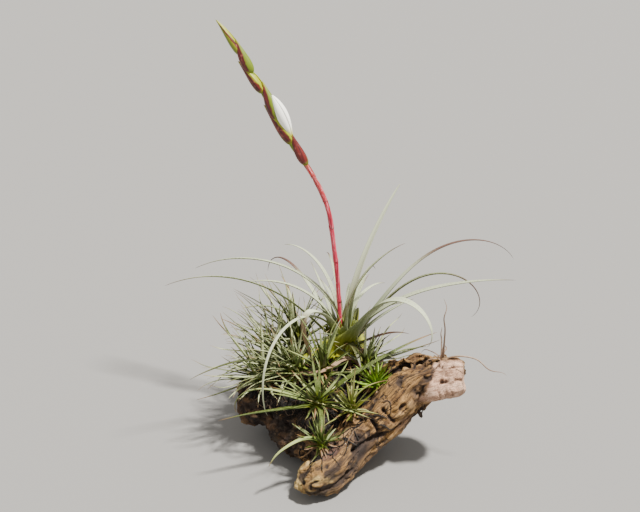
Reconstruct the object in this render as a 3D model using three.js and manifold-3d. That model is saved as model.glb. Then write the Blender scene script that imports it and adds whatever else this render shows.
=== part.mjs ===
// A clump of small air plants on a piece of weathered driftwood, one of them in flower.
// Millimetres, +Z up, +X to the right and -Y toward the viewer.
// The origin is the middle of the small flat that the wood rests on.
import * as THREE from 'three';
import { mergeVertices } from 'three/addons/utils/BufferGeometryUtils.js';
import Module from 'manifold-3d';

const wasm = await Module();
wasm.setup();

// Driving dimensions.
const GAP = 0.3; // clearance between pieces that stand in or on each other
const LEAF_GAP = 0.35; // least clearance between leaves of different plants
const FINEST = 0.05; // edges and steps smaller than this are smoothed away
const FLOOR_GAP = 1.5; // least height of a leaf over what the wood rests on
const GROUND_GAP = 0.4; // least clearance between a leaf and the wood or the roots
const MOUND_SWELL = 0.6; // how far a rough mound can stand out from its plain ball
const STEPS = 24; // steps along a leaf when it is grown
const BLADE_THICK = 0.9; // depth of a fine leaf's keel
const BROAD_THICK = 1.3; // depth of a broad leaf's keel
const SCAPE_R = 1.15; // flower stem radius
const AXIS_R = [1.9, 0.8]; // radius of the spike's axis at its foot and at its tip
const COROLLA_LONG = 33; // the flower from its root to its tip
const COROLLA_WIDE = 8.2;
const ROUGH = 0.13; // unevenness of the wood's lobes, as a share of their size
const ROUGH_FINE = 0.07; // the same for smaller bumps
const ROUGH_BALL = 0.08; // unevenness of the wood's belly and the root mounds
const BELOW = { wide: 400, deep: 60 }; // the block that trims the wood flat at its rest face

// The wood's lobes: rows of x, y, z, half width, half height along each lobe's line.
const ARM = [
  [-24, -64, 11, 10, 9], [-13, -59, 13, 13, 12], [3, -43, 18, 15, 13], [20, -29, 29, 13, 13],
  [37, -20, 42, 13, 14], [54, -13, 54, 13, 15], [70, -13, 61, 13, 15], [80, -15, 65, 11, 14],
  [88, -17, 67, 10, 12],
];
const LEFT_LOBE = [
  [-66, 2, 24, 9, 9], [-56, 10, 25, 15, 15], [-42, 18, 25, 17, 18], [-20, 24, 24, 16, 17],
];
const BACK_LOBE = [
  [-30, 40, 24, 13, 15], [-10, 42, 26, 19, 21], [14, 40, 27, 22, 22], [40, 26, 32, 17, 18],
];
const BARK_RIDGE = [
  [36, 1, 54, 4, 5], [42, 2, 60, 5, 6], [50, 1.5, 65, 5.5, 6], [60, 0, 69.5, 5.5, 6.5],
  [68, -2, 72.5, 4.5, 5.5], [72, -3, 73.5, 3, 4],
];
const BELLY = { at: [-4, -2, 19], radii: [43, 41, 22], around: 18, along: 11, seed: 41 };
const LOBES = [
  { rows: ARM, around: 14, along: 18, seed: 11 },
  { rows: LEFT_LOBE, around: 12, along: 10, seed: 23 },
  { rows: BACK_LOBE, around: 12, along: 9, seed: 31 },
  { rows: BARK_RIDGE, around: 10, along: 8, seed: 37 },
];
const MID_MOUND = { at: [-10, 12, 36], radii: [42, 32, 15] }; // roots between the plants
const MOUND = { around: 9, along: 6, seed: 60 }; // how finely the root mounds are made

// Cracks and hollows in the wood: from, to, half width, half depth.
const CRACKS = [
  [[9, -58, 15], [15, -48, 31], 1.1, 5], [[13, -50, 29], [29, -40, 34], 1.2, 5],
  [[26, -41, 34], [43, -33, 36], 1, 4.5], [[34, -9, 56], [46, -4, 60], 4.5, 4],
  [[77, -28, 70], [77, -22, 74], 2, 2], [[70, -28, 62], [73, -23, 65], 2, 2],
  [[78, -10, 78], [88, -10, 78], 3.5, 3], [[-60, 6, 42], [-56, 12, 44], 3, 4],
];
const TWIG = { from: [50, -26, 46], to: [62, -28, 44], r: 2.6 };

// Every plant: where it stands, its core's radius and height, the mound of roots under it,
// its own leaves, and the rule for the rest.
// A mound is its three radii and how far it is set forward.
// A leaf is direction, rise, length, bend, how late it bends, width and turn (degrees and mm).
const PLANTS = [
  {
    name: 'mother_rosette', at: [8, 36, 54], core: [10.4, 26.6], broad: true, mound: [25, 20, 12, 2],
    leaves: [
      [50, 109, 127, 72, 0.5, 5], [14, 104, 96, 88, 1.1, 4.6], [0, 60, 162, 122, 3, 6.4],
      [-12, 60, 149, 200, 3, 6.2], [-25, 76, 151, 66, 0.6, 6.2], [-45, 62, 128, 200, 3, 8.4],
      [140, 90, 98, 112, 2, 4.6], [128, 44, 117, 133, 2.9, 4], [200, 54, 157, 70, 2, 4.6],
      [180, 84, 98, 100, 1.1, 4.4], [165, 118, 150, 150, 0.6, 4.2], [-133, 102, 160, 224, 0.9, 5],
      [-139, 140, 109, 299, 0.9, 3.6], [-32, 40, 58, 40, 3, 3.6], [42, 108, 66, 136, 1.1, 5],
      [120, 104, 56, 96, 0.7, 5], [-75, 62, 44, 110, 1, 7], [85, 62, 66, 110, 1.6, 4.4],
      [100, 58, 92, 96, 2, 4.2], [70, 56, 88, 110, 2, 4.6],
    ],
    more: { count: 2, rise: [50, 76], length: [50, 70], wide: 4.4, bend: 60 },
  },
  {
    name: 'rosette_back_left', at: [-26, 46, 50], core: [5, 14], mound: [16, 14, 10, 2],
    leaves: [
      [185, 100, 57, 118, 0.8, 2.3], [195, 52, 47, 23, 1.5, 2.2], [205, 28, 59, -10, 1.8, 2.2],
      [150, 66, 52, 50, 2, 2.2], [120, 78, 50, 60, 2, 2.2],
    ],
    more: { count: 15, rise: [18, 84], length: [34, 52], wide: 2.1, bend: 40 },
  },
  {
    name: 'rosette_left', at: [-43, 33, 46], core: [5, 13], mound: [15, 14, 10, 0],
    leaves: [[170, 61, 43, 43, 3, 2.2], [190, 53, 39, 45, 3, 2.2], [160, 40, 48, 30, 2, 2.1]],
    more: { count: 15, rise: [12, 82], length: [30, 46], wide: 2.1, bend: 34 },
  },
  {
    name: 'rosette_mid_left', at: [-27, 8, 50], core: [5, 13], mound: [15, 15, 10, 0],
    leaves: [
      [190, 37, 79, 72, 1, 2.4], [200, 8, 68, -6, 1, 2.3], [170, 43, 42, 4, 1.5, 2.2],
      [215, 22, 52, 30, 1.5, 2.3],
    ],
    more: { count: 16, rise: [12, 82], length: [28, 44], wide: 2.1, bend: 30 },
  },
  {
    name: 'rosette_far_left', at: [-50, 13, 41], core: [5, 13], mound: [14, 14, 9, 0],
    leaves: [
      [165, 50, 58, -26, 2.5, 2.3], [175, 55, 60, 0, 1.3, 2.2], [185, 32, 36, -10, 2.2, 2.1],
      [202, 2, 50, 14, 1, 2.6], [225, 16, 34, 40, 1.5, 2.2],
    ],
    more: { count: 13, rise: [10, 82], length: [26, 42], wide: 2.1, bend: 30 },
  },
  {
    name: 'rosette_centre', at: [-8, 3, 53], core: [5, 13], mound: [16, 15, 10, 0],
    leaves: [[-100, 70, 44, 60, 2, 2.4], [150, 72, 46, 30, 2, 2.2], [60, 60, 40, 40, 2, 2.2]],
    more: { count: 17, rise: [14, 82], length: [28, 42], wide: 2.2, bend: 40 },
  },
  {
    name: 'rosette_right', at: [22, 15, 51], core: [5, 13], mound: [16, 16, 11, 0],
    leaves: [[10, 28, 46, 26, 0.8, 2.4], [20, 62, 28, 32, 1, 2.2], [9.5, 18, 56.5, 1.5, 0.4, 2.3]],
    more: { count: 13, rise: [14, 80], length: [22, 38], wide: 2.1, bend: 44 },
  },
  {
    name: 'rosette_front', at: [-11, -23, 45], core: [5, 12], mound: [15, 13, 10, 0],
    leaves: [
      [172, 18, 73, 130, 2.8, 2.6], [196, 4, 70, 6, 1, 3.2], [160, 22, 36, -22, 1, 2.2],
      [178, 26, 36, 6, 1, 2.2], [140, 42, 28, -16, 2, 2.1], [20, 44, 96, 36, 0.7, 2.8],
      [-10, 6, 38, 20, 1, 2.4],
    ],
    more: { count: 13, rise: [6, 80], length: [24, 38], wide: 2.2, bend: 40 },
  },
  {
    name: 'rosette_arm', at: [12, -24, 40], core: [4.4, 10.3], mound: [12, 10, 8, -2],
    leaves: [
      [165, 30, 32, -40, 1.2, 2.2], [140, 56, 26, 40, 1.4, 2.1], [10, 88, 36, 110, 0.7, 2.2],
      [60, 92, 31, 18, 1, 2.1],
    ],
    more: { count: 11, rise: [10, 80], length: [18, 30], wide: 2.1, bend: 30 },
  },
  {
    name: 'rosette_tip', at: [-9, -45, 27], core: [4.5, 10],
    leaves: [
      [110, 70, 22, 10, 1.2, 2.4], [160, 34, 24, 12, 2.2, 2.2], [60, 84, 26, 8, 1.4, 2.1],
      [206, 66, 47, 130, 0.7, 3.2],
    ],
    more: { count: 11, rise: [8, 80], length: [14, 25], wide: 2.1, bend: 26 },
  },
  {
    name: 'seedling_tuft', at: [29, -5, 49], core: [5, 8], mound: [15, 14, 10, 0],
    leaves: [],
    more: { count: 19, rise: [8, 84], length: [13, 20], wide: 2.1, bend: 10 },
  },
  {
    name: 'dry_tuft', at: [74, -9, 74], core: [2.7, 4.4],
    leaves: [[60, 86, 50, 10, 1, 1.7], [110, 74, 26, -20, 1, 1.6], [-14, 31, 48, 98, 1.3, 1.7]],
    more: { count: 2, rise: [30, 60], length: [8, 14], wide: 1.6, bend: 60 },
  },
];

// The flower stem's line, from the heart of the large plant to the tip of its spike.
const STEM = [
  [5, 36, 68], [4, 37, 94], [1, 38, 128], [-1.5, 39.5, 153], [-5, 41.5, 171], [-12.7, 44.5, 188],
  [-21, 47.5, 201], [-30, 50.5, 214], [-37.5, 54, 228], [-46, 59.5, 241], [-53, 63, 253.5],
  [-62, 67, 268], [-70, 70.5, 280], [-77, 73, 290.5],
];
const SPIKE_FROM = 0.462; // where along the stem the spike of bracts starts
const SPIKE_TO = 0.93; // where its axis ends, inside the last bract
// Each bract: its root along the stem, its length, its width, how far its tip stands off.
const BRACTS = [
  [0.462, 19, 6.2, 4], [0.546, 25, 6.8, 5], [0.63, 22, 7, 4.5],
  [0.735, 20, 5.8, 4], [0.81, 18.5, 5.8, 2.2], [0.873, 21.5, 4.4, 0.3],
];
const FLOWER_FROM = 0.54; // root of the flower along the stem

const GOLDEN = 137.5; // degrees from one leaf to the next
const rad = THREE.MathUtils.degToRad;
const UP = new THREE.Vector3(0, 0, 1);

// A repeatable random number maker.
function randomFrom(seed) {
  let a = seed >>> 0;
  return () => {
    a = (a + 0x6d2b79f5) >>> 0;
    let t = Math.imul(a ^ (a >>> 15), 1 | a);
    t = (t + Math.imul(t ^ (t >>> 7), 61 | t)) ^ t;
    return ((t ^ (t >>> 14)) >>> 0) / 4294967296;
  };
}

// Smooth noise from -1 to 1 on a unit grid.
function noise(x, y, z, seed = 0) {
  const grid = (i, j, k) => {
    let h = Math.imul(i, 374761393) + Math.imul(j, 668265263) + Math.imul(k, 2147483647) + seed * 1013;
    h = Math.imul(h ^ (h >>> 13), 1274126177);
    return ((h ^ (h >>> 16)) >>> 0) / 2147483648 - 1;
  };
  const [i, j, k] = [Math.floor(x), Math.floor(y), Math.floor(z)];
  const ease = (t) => t * t * (3 - 2 * t);
  const [u, v, w] = [ease(x - i), ease(y - j), ease(z - k)];
  const mix = THREE.MathUtils.lerp;
  const face = (n) => mix(
    mix(grid(i, j, n), grid(i + 1, j, n), u),
    mix(grid(i, j + 1, n), grid(i + 1, j + 1, n), u),
    v,
  );
  return mix(face(k), face(k + 1), w);
}

// A three.js geometry with every vertex moved by a formula, as a solid.
function moved(geometry, move) {
  geometry.deleteAttribute('normal');
  geometry.deleteAttribute('uv');
  const joined = mergeVertices(geometry);
  const pos = joined.attributes.position;
  const v = new THREE.Vector3();
  for (let i = 0; i < pos.count; i++) {
    v.fromBufferAttribute(pos, i);
    move(v);
    pos.setXYZ(i, v.x, v.y, v.z);
  }
  return new wasm.Manifold(new wasm.Mesh({
    numProp: 3,
    vertProperties: new Float32Array(pos.array),
    triVerts: new Uint32Array(joined.index.array),
  }));
}

const join = (solids) => solids.reduce((all, solid) => all.add(solid));

// The largest body of a solid, with any scrap dropped.
function largest(solid) {
  return solid.decompose().reduce((a, b) => (b.volume() > a.volume() ? b : a));
}

// A bare mesh of a solid in its own colour.
function meshOf(name, solid, color, roughness) {
  const { vertProperties, triVerts } = largest(solid.asOriginal().simplify(FINEST)).getMesh();
  const geometry = new THREE.BufferGeometry();
  geometry.setAttribute('position', new THREE.BufferAttribute(new Float32Array(vertProperties), 3));
  geometry.setIndex(new THREE.BufferAttribute(new Uint32Array(triVerts), 1));
  geometry.computeVertexNormals();
  const mesh = new THREE.Mesh(geometry, new THREE.MeshStandardMaterial({ color, roughness, metalness: 0 }));
  mesh.name = name;
  return mesh;
}

// The side and top directions of a line at a point with this tangent.
function sideways(tangent) {
  const side = new THREE.Vector3().crossVectors(tangent, UP);
  if (side.lengthSq() < 1e-6) side.set(1, 0, 0);
  side.normalize();
  return [side, new THREE.Vector3().crossVectors(side, tangent)];
}

// The line of a lobe and its half sizes along that line.
function courseOf(rows) {
  const line = new THREE.CatmullRomCurve3(rows.map((r) => new THREE.Vector3(r[0], r[1], r[2])));
  const sizes = new THREE.CatmullRomCurve3(rows.map((r) => new THREE.Vector3(r[3], r[4], 0)));
  return [line, sizes];
}

// A lobe of wood: a ball stretched along a line, squarish across and rough.
function lobe({ rows, around, along, seed }, grow) {
  const [line, sizes] = courseOf(rows);
  return moved(new THREE.SphereGeometry(1, around, along), (v) => {
    const s = (v.y + 1) / 2;
    const ring = Math.hypot(v.x, v.z);
    const [a, b] = ring > 1e-6 ? [v.x / ring, v.z / ring] : [0, 0];
    const square = 1 / (Math.abs(a) ** 3 + Math.abs(b) ** 3 + 1e-9) ** (1 / 3);
    const end = (1 - Math.abs(2 * s - 1) ** 8) ** (1 / 3);
    const size = sizes.getPoint(s);
    const place = line.getPoint(s);
    const [side, top] = sideways(line.getTangent(s));
    const lumps = ROUGH * noise(a * 1.7 + 5, b * 1.7 + 5, s * 7, seed);
    const bumps = ROUGH_FINE * noise(a * 4 + 9, b * 4 + 9, s * 5, seed + 1);
    const r = ring > 1e-6 ? square * end * (1 + lumps + bumps) : 0;
    v.copy(place);
    v.addScaledVector(side, a * (size.x + grow) * r);
    v.addScaledVector(top, b * (size.y + grow) * r);
  });
}

// A rough ball with its own three radii.
function boulder({ at, radii, around, along, seed }, grow) {
  return moved(new THREE.SphereGeometry(1, around, along), (v) => {
    const rough = 1 + ROUGH_BALL * noise(v.x * 2 + 7, v.y * 2 + 7, v.z * 2 + 7, seed);
    v.set(
      at[0] + v.x * (radii[0] * rough + grow),
      at[1] - v.z * (radii[1] * rough + grow),
      at[2] + v.y * (radii[2] * rough + grow),
    );
  });
}

// The stub of a broken twig.
function twig(grow) {
  const a = new THREE.Vector3(...TWIG.from);
  const b = new THREE.Vector3(...TWIG.to);
  const [side, top] = sideways(new THREE.Vector3().subVectors(b, a).normalize());
  return moved(new THREE.CylinderGeometry(0.45, 1, 1, 7, 1), (v) => {
    const { x, y, z } = v;
    const r = TWIG.r + grow;
    v.lerpVectors(a, b, y + 0.5).addScaledVector(side, x * r).addScaledVector(top, z * r);
  });
}

// All the wood, grown outward by this much, before it is cut.
function woodBody(grow) {
  return join([...LOBES.map((form) => lobe(form, grow)), boulder(BELLY, grow), twig(grow)]);
}

// A flat block whose top is the plane the wood rests on.
function belowRest() {
  const { wide, deep } = BELOW;
  return moved(new THREE.BoxGeometry(wide, wide, deep), (v) => v.set(v.x, v.y, v.z - deep / 2));
}

// A splinter-shaped cut: a cone along a line, narrow across.
function splinter(from, to, wide, deep) {
  const a = new THREE.Vector3(...from);
  const b = new THREE.Vector3(...to);
  const tangent = new THREE.Vector3().subVectors(b, a).normalize();
  const [side, top] = sideways(tangent);
  return moved(new THREE.SphereGeometry(1, 6, 8), (v) => {
    const s = (v.y + 1) / 2;
    const p = new THREE.Vector3().lerpVectors(a, b, s);
    p.addScaledVector(side, v.x * wide).addScaledVector(top, v.z * deep);
    v.copy(p);
  });
}

// A plant's core: the short stem and closed leaf bases that its leaves grow from.
function coreOf(plant, grow) {
  const [r, tall] = plant.core;
  // Share of the radius, and height, of each ring from the buried foot to the tip.
  const profile = [[0, -6], [0.8, -5], [1, tall * 0.3], [0.75, tall * 0.7], [0.3, tall], [0, tall + 0.5]];
  const points = profile.map(([x, y]) => (
    new THREE.Vector2(x > 0 ? x * r + grow : 0, y + Math.sign(y) * grow)));
  return moved(new THREE.LatheGeometry(points, plant.broad ? 12 : 6), (v) => {
    v.set(plant.at[0] + v.x, plant.at[1] - v.z, plant.at[2] + v.y);
  });
}

// The line of a leaf: its rise bends down by the bend angle, mostly late, and its direction turns.
function grown(leaf) {
  const points = [leaf.from.clone()];
  const p = leaf.from.clone();
  for (let i = 0; i < STEPS; i++) {
    const s = (i + 0.5) / STEPS;
    const rise = rad(leaf.rise - leaf.bend * s ** leaf.late);
    const way = rad(leaf.way + leaf.turn * s);
    const step = leaf.length / STEPS;
    p.x += step * Math.cos(rise) * Math.cos(way);
    p.y += step * Math.cos(rise) * Math.sin(way);
    p.z += step * Math.sin(rise);
    points.push(p.clone());
  }
  return points;
}

// Half the width of a leaf this far along it.
function halfWidth(leaf, s) {
  const sheath = leaf.broad ? 1 + 1.5 * Math.exp(-s / 0.1) : 1 + 0.5 * Math.exp(-s / 0.12);
  return 0.5 * leaf.wide * (1 - s) ** 0.7 * sheath;
}

// A leaf blade: a cone bent along its line, with a keel below and, if broad, a channel above.
function blade(leaf) {
  const [sides, rows] = leaf.broad ? [4, 8] : [3, leaf.length > 26 ? 5 : 4];
  const points = grown(leaf);
  const along = (s) => {
    const i = Math.min(STEPS - 1, Math.floor(s * STEPS));
    return new THREE.Vector3().lerpVectors(points[i], points[i + 1], s * STEPS - i);
  };
  return moved(new THREE.ConeGeometry(1, 1, sides, rows, false, Math.PI), (v) => {
    const s = v.y + 0.5;
    const ring = Math.hypot(v.x, v.z);
    const [a, b] = ring > 1e-6 ? [v.x / ring, v.z / ring] : [0, 0];
    const tangent = along(Math.min(1, s + 0.04)).sub(along(Math.max(0, s - 0.04))).normalize();
    const [side, top] = sideways(tangent);
    const half = halfWidth(leaf, s);
    const thinning = s < 1 ? Math.min(1, (1 - s) * 3 + 0.25) : 0;
    const deep = (leaf.broad ? BROAD_THICK : BLADE_THICK) * thinning;
    v.copy(along(s)).addScaledVector(side, a * half);
    if (leaf.broad) v.addScaledVector(top, b < -0.5 ? -deep : Math.abs(a) > 0.5 ? 0.25 * half : 0);
    else v.addScaledVector(top, b < 0 ? -deep : 0.25 * deep);
  });
}

// The squared distance between two short straight pieces.
function pieceDistance(p, q, r, s) {
  const d1 = [q.x - p.x, q.y - p.y, q.z - p.z];
  const d2 = [s.x - r.x, s.y - r.y, s.z - r.z];
  const w = [p.x - r.x, p.y - r.y, p.z - r.z];
  const dot = (a, b) => a[0] * b[0] + a[1] * b[1] + a[2] * b[2];
  const [a, e, f, c, b] = [dot(d1, d1), dot(d2, d2), dot(d2, w), dot(d1, w), dot(d1, d2)];
  const clamp = (t) => Math.min(1, Math.max(0, t));
  const base = a * e - b * b;
  let t = base > 1e-9 ? clamp((b * f - c * e) / base) : 0;
  let u = (b * t + f) / e;
  if (u < 0 || u > 1) {
    u = clamp(u);
    t = clamp((b * u - c) / a);
  }
  const away = [w[0] + d1[0] * t - d2[0] * u, w[1] + d1[1] * t - d2[1] * u, w[2] + d1[2] * t - d2[2] * u];
  return dot(away, away);
}

// Every third point of a leaf's line, which is enough to tell whether it is clear.
const sparse = (points) => points.filter((p, i) => i % 3 === 0);

// A leaf's radius there, as a straight piece.
const radiusOf = (leaf, s) => Math.max(0.5, halfWidth(leaf, s));

// Everything placed so far, as straight pieces with a radius and the plant they belong to.
const placed = [];

function keep(points, radiusAt, owner) {
  for (let i = 0; i + 1 < points.length; i++) {
    placed.push({ a: points[i], b: points[i + 1], r: radiusAt((i + 0.5) / (points.length - 1)), owner });
  }
}

// The ground under the leaves: the wood's and the roots' rough round forms as plain balls.
const ground = [];

function clearOfGround(p, r) {
  return p.z > r + FLOOR_GAP && ground.every(({ at, radii }) => {
    const x = (p.x - at[0]) / (radii[0] + r);
    const y = (p.y - at[1]) / (radii[1] + r);
    const z = (p.z - at[2]) / (radii[2] + r);
    return x * x + y * y + z * z > 1;
  });
}

// Two pieces that start farther apart than this can't touch.
const FAR = 48;

// Whether a leaf keeps clear of the other plants and of the ground.
function isClear(leaf, owner) {
  const points = sparse(grown(leaf));
  const n = points.length - 1;
  for (let i = 0; i < n; i++) {
    const s = (i + 0.5) / n;
    const r = radiusOf(leaf, i / n) + LEAF_GAP;
    if (s * leaf.length > leaf.free && !clearOfGround(points[i + 1], r + GROUND_GAP)) return false;
    const [a, b] = [points[i], points[i + 1]];
    for (const piece of placed) {
      if (piece.owner === owner) continue;
      const reach = r + piece.r;
      if (Math.abs(a.x - piece.a.x) > FAR || Math.abs(a.y - piece.a.y) > FAR) continue;
      if (pieceDistance(a, b, piece.a, piece.b) < reach * reach) return false;
    }
  }
  return true;
}

// The small turns and bends tried, in order, to bring a leaf clear, and the shares of its length.
const NUDGE_SIZES = [5, 10, 16, 23];
const NUDGE_WAYS = [[1, 0], [-1, 0], [0, 1], [0, -1], [0.7, 0.7], [-0.7, 0.7], [0.7, -0.7], [-0.7, -0.7]];
const NUDGES = [[0, 0], ...NUDGE_SIZES.flatMap((size) => NUDGE_WAYS.map(([x, y]) => [x * size, y * size]))];
const SHORTER = [1, 0.8, 0.62];

// Places a leaf: nudged clear, made shorter if it must be, and left out if it can't be.
function place(leaf, owner) {
  for (const shorter of SHORTER) {
    for (const [turn, rise] of NUDGES) {
      const changed = { way: leaf.way + turn, rise: leaf.rise + rise, length: leaf.length * shorter };
      const trial = { ...leaf, ...changed };
      if (!isClear(trial, owner)) continue;
      keep(sparse(grown(trial)), (s) => radiusOf(trial, s), owner);
      return trial;
    }
  }
  return null;
}

// The stem's line and the wood and root forms come first, then every plant's own leaves, then the rest.
const stem = new THREE.CatmullRomCurve3(STEM.map((p) => new THREE.Vector3(...p)));
keep(stem.getPoints(STEPS).slice(2), () => SCAPE_R + GAP * 2, 'stem');

const HUMMOCKS = PLANTS.filter((plant) => plant.mound).map(({ at, mound }) => (
  { at: [at[0], at[1] - mound[3], at[2] - mound[2] + 0.5], radii: mound.slice(0, 3) }));
HUMMOCKS.push(MID_MOUND);

for (const { at, radii } of HUMMOCKS) ground.push({ at, radii: radii.map((r) => r + MOUND_SWELL) });
ground.push(BELLY);
const BALLS = 12; // balls along each lobe
for (const { rows } of LOBES) {
  const [line, sizes] = courseOf(rows);
  for (let i = 0; i <= BALLS; i++) {
    const size = sizes.getPoint(i / BALLS);
    const r = Math.max(size.x, size.y) * (1 + 1.5 * ROUGH_BALL);
    ground.push({ at: line.getPoint(i / BALLS).toArray(), radii: [r, r, r] });
  }
}

// Where a leaf springs from inside its plant's core: how far from the middle, how high at least,
// how much higher at most, and the rise at which it is highest.
const springOf = ({ broad, core }) => (
  broad ? { out: 3.5, low: 2, more: 6, full: 90 } : { out: 0.8, low: 4, more: core[1] - 7, full: 80 });
const FREE = 4; // how far past its core's radius a leaf may touch the ground

// A leaf of a plant from its numbers.
function leafOf(plant, [way, rise, length, bend, late, wide, turn = 0]) {
  const [x, y, z] = plant.at;
  const { out, low, more, full } = springOf(plant);
  const up = low + more * THREE.MathUtils.clamp(rise / full, 0, 1);
  const from = new THREE.Vector3(x + out * Math.cos(rad(way)), y + out * Math.sin(rad(way)), z + up);
  const free = plant.core[0] + FREE;
  return { way, rise, length, bend, late, wide, turn, from, free, broad: plant.broad };
}

for (const plant of PLANTS) {
  const [x, y, z] = plant.at;
  const [r, tall] = plant.core;
  const middle = [0, 0.5, 1].map((s) => new THREE.Vector3(x, y, z + tall * s));
  keep(middle, () => r * 0.95, plant.name);
}
const leaves = new Map(PLANTS.map((plant) => [plant.name, []]));
for (const plant of PLANTS) {
  const own = leaves.get(plant.name);
  for (const numbers of plant.leaves) own.push(place(leafOf(plant, numbers), plant.name));
}
PLANTS.forEach((plant, index) => {
  const random = randomFrom(900 + index);
  const { count, rise, length, wide, bend } = plant.more;
  for (let i = 0; i < count; i++) {
    const t = (i + 0.5) / count;
    const numbers = [
      i * GOLDEN + index * 40 + 16 * (random() - 0.5),
      rise[0] + (rise[1] - rise[0]) * t + 8 * (random() - 0.5),
      length[0] + (length[1] - length[0]) * random(),
      bend * (1.5 * random() - 0.35),
      1.3,
      wide * (0.85 + 0.3 * random()),
      36 * (random() - 0.5),
    ];
    leaves.get(plant.name).push(place(leafOf(plant, numbers), plant.name));
  }
});

// The flower stem as a solid from one place along its line to another.
function rod(from, to, radius, around, along) {
  return moved(new THREE.CylinderGeometry(1, 1, 1, around, along), (v) => {
    const s = from + (to - from) * (v.y + 0.5);
    const [side, top] = sideways(stem.getTangent(s));
    const r = typeof radius === 'function' ? radius(v.y + 0.5) : radius;
    v.copy(stem.getPoint(s).addScaledVector(side, v.x * r).addScaledVector(top, v.z * r));
  });
}

// A bract: a keeled boat that clasps the stem at its root and leans out to one side.
function bract([from, long, wide, off], hand) {
  const root = stem.getPoint(from);
  const tangent = stem.getTangent(from + 0.04);
  const [side, top] = sideways(tangent);
  return moved(new THREE.SphereGeometry(1, 6, 6), (v) => {
    const t = (v.y + 1) / 2;
    const swell = Math.sin(Math.PI * t ** 0.75) ** 0.8;
    const ring = Math.hypot(v.x, v.z) || 1;
    const [a, b] = [v.x / ring, v.z / ring];
    v.copy(root).addScaledVector(tangent, t * long);
    v.addScaledVector(top, hand * (0.5 + off * t) + b * swell * wide * 0.42);
    v.addScaledVector(side, a * swell * wide * 0.5);
  });
}

// The flower: a swollen white tube closed to a blunt point, lying along the spike.
function corolla(grow) {
  const root = stem.getPoint(FLOWER_FROM);
  const tangent = stem.getTangent(FLOWER_FROM + 0.08);
  const [side, top] = sideways(tangent);
  return moved(new THREE.SphereGeometry(1, 10, 9), (v) => {
    const t = (v.y + 1) / 2;
    const swell = 0.5 * COROLLA_WIDE * Math.sin(Math.PI * t ** 1.15) ** 0.75;
    const { x, y, z } = v;
    const ring = Math.hypot(x, z);
    const r = ring > 1e-6 ? (swell + grow) / ring : 0;
    v.copy(root).addScaledVector(tangent, t * COROLLA_LONG + y * grow);
    v.addScaledVector(top, 2.4 + 7.4 * t - 3.6 * t * t + z * r);
    v.addScaledVector(side, x * r);
  });
}

const scapeSolid = rod(0, SPIKE_FROM + 0.02, SCAPE_R, 6, 16);
const axisSolid = rod(SPIKE_FROM, SPIKE_TO, (t) => THREE.MathUtils.lerp(...AXIS_R, t), 6, 9);
const bracts = BRACTS.map((numbers, i) => bract(numbers, i % 2 ? -1 : 1));
const socket = rod(SPIKE_FROM - 0.02, SPIKE_FROM + 0.025, SCAPE_R + GAP, 8, 2);
const spikeSolid = join([axisSolid, ...bracts]).subtract(socket).subtract(corolla(GAP));

const group = new THREE.Group();
group.add(meshOf('flower_scape', scapeSolid, 0xa8384a, 0.5));
group.add(meshOf('flower_bracts', spikeSolid, 0x7d8f2c, 0.5));
group.add(meshOf('corolla', corolla(0), 0xf2f1e6, 0.6));

for (const plant of PLANTS) {
  const own = leaves.get(plant.name).filter(Boolean);
  let solid = join([coreOf(plant, 0), ...own.map(blade)]);
  if (plant.broad) solid = solid.subtract(rod(0, 0.3, SCAPE_R + GAP, 10, 8));
  group.add(meshOf(plant.name, solid, 0x9aa58c, 0.7));
}

const holes = join(PLANTS.map((plant) => coreOf(plant, GAP)));
const mounds = join(HUMMOCKS.map((form, i) => boulder({ ...MOUND, ...form, seed: MOUND.seed + i }, 0)));
const mat = mounds.subtract(woodBody(GAP)).subtract(belowRest()).subtract(holes);
group.add(meshOf('root_mat', mat, 0x2e2720, 0.95));
const cracks = join(CRACKS.map((numbers) => splinter(...numbers)));
const wood = woodBody(0).subtract(belowRest()).subtract(holes).subtract(cracks);
group.add(meshOf('driftwood', wood, 0x8f7354, 0.9));

export default group;
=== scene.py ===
# %% [markdown]
# # A clump of small air plants on driftwood
# One large rosette is in flower and about ten small ones crowd round it.
# A dark mat of roots holds them on a weathered piece of wood.
# The wood, the plants and the flower stem each get their own step below.
# All shapes are worked out as arrays, in millimetres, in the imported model's frame.

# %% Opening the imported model
import math

import bpy
import numpy as np
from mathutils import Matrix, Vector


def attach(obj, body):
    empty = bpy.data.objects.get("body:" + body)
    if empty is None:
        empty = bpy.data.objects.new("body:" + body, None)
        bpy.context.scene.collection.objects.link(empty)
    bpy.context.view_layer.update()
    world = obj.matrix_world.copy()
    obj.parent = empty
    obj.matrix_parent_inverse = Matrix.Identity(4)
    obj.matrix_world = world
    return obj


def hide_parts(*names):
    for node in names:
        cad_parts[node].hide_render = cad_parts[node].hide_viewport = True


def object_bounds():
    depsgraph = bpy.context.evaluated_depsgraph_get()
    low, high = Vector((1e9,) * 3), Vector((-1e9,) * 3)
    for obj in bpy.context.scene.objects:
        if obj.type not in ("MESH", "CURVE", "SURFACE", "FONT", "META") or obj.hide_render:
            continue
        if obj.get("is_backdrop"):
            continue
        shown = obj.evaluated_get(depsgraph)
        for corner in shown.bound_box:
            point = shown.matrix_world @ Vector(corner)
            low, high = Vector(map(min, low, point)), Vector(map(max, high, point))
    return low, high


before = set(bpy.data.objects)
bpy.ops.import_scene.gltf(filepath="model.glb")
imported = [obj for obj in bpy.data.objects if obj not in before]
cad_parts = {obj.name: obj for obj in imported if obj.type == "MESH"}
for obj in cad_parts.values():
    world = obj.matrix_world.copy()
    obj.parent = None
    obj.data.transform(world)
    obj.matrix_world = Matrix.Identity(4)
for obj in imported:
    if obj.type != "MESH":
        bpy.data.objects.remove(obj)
cad_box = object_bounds()
MM = 0.001
print("nodes", len(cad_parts), "box", [round(v / MM) for v in (*cad_box[0], *cad_box[1])])

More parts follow.
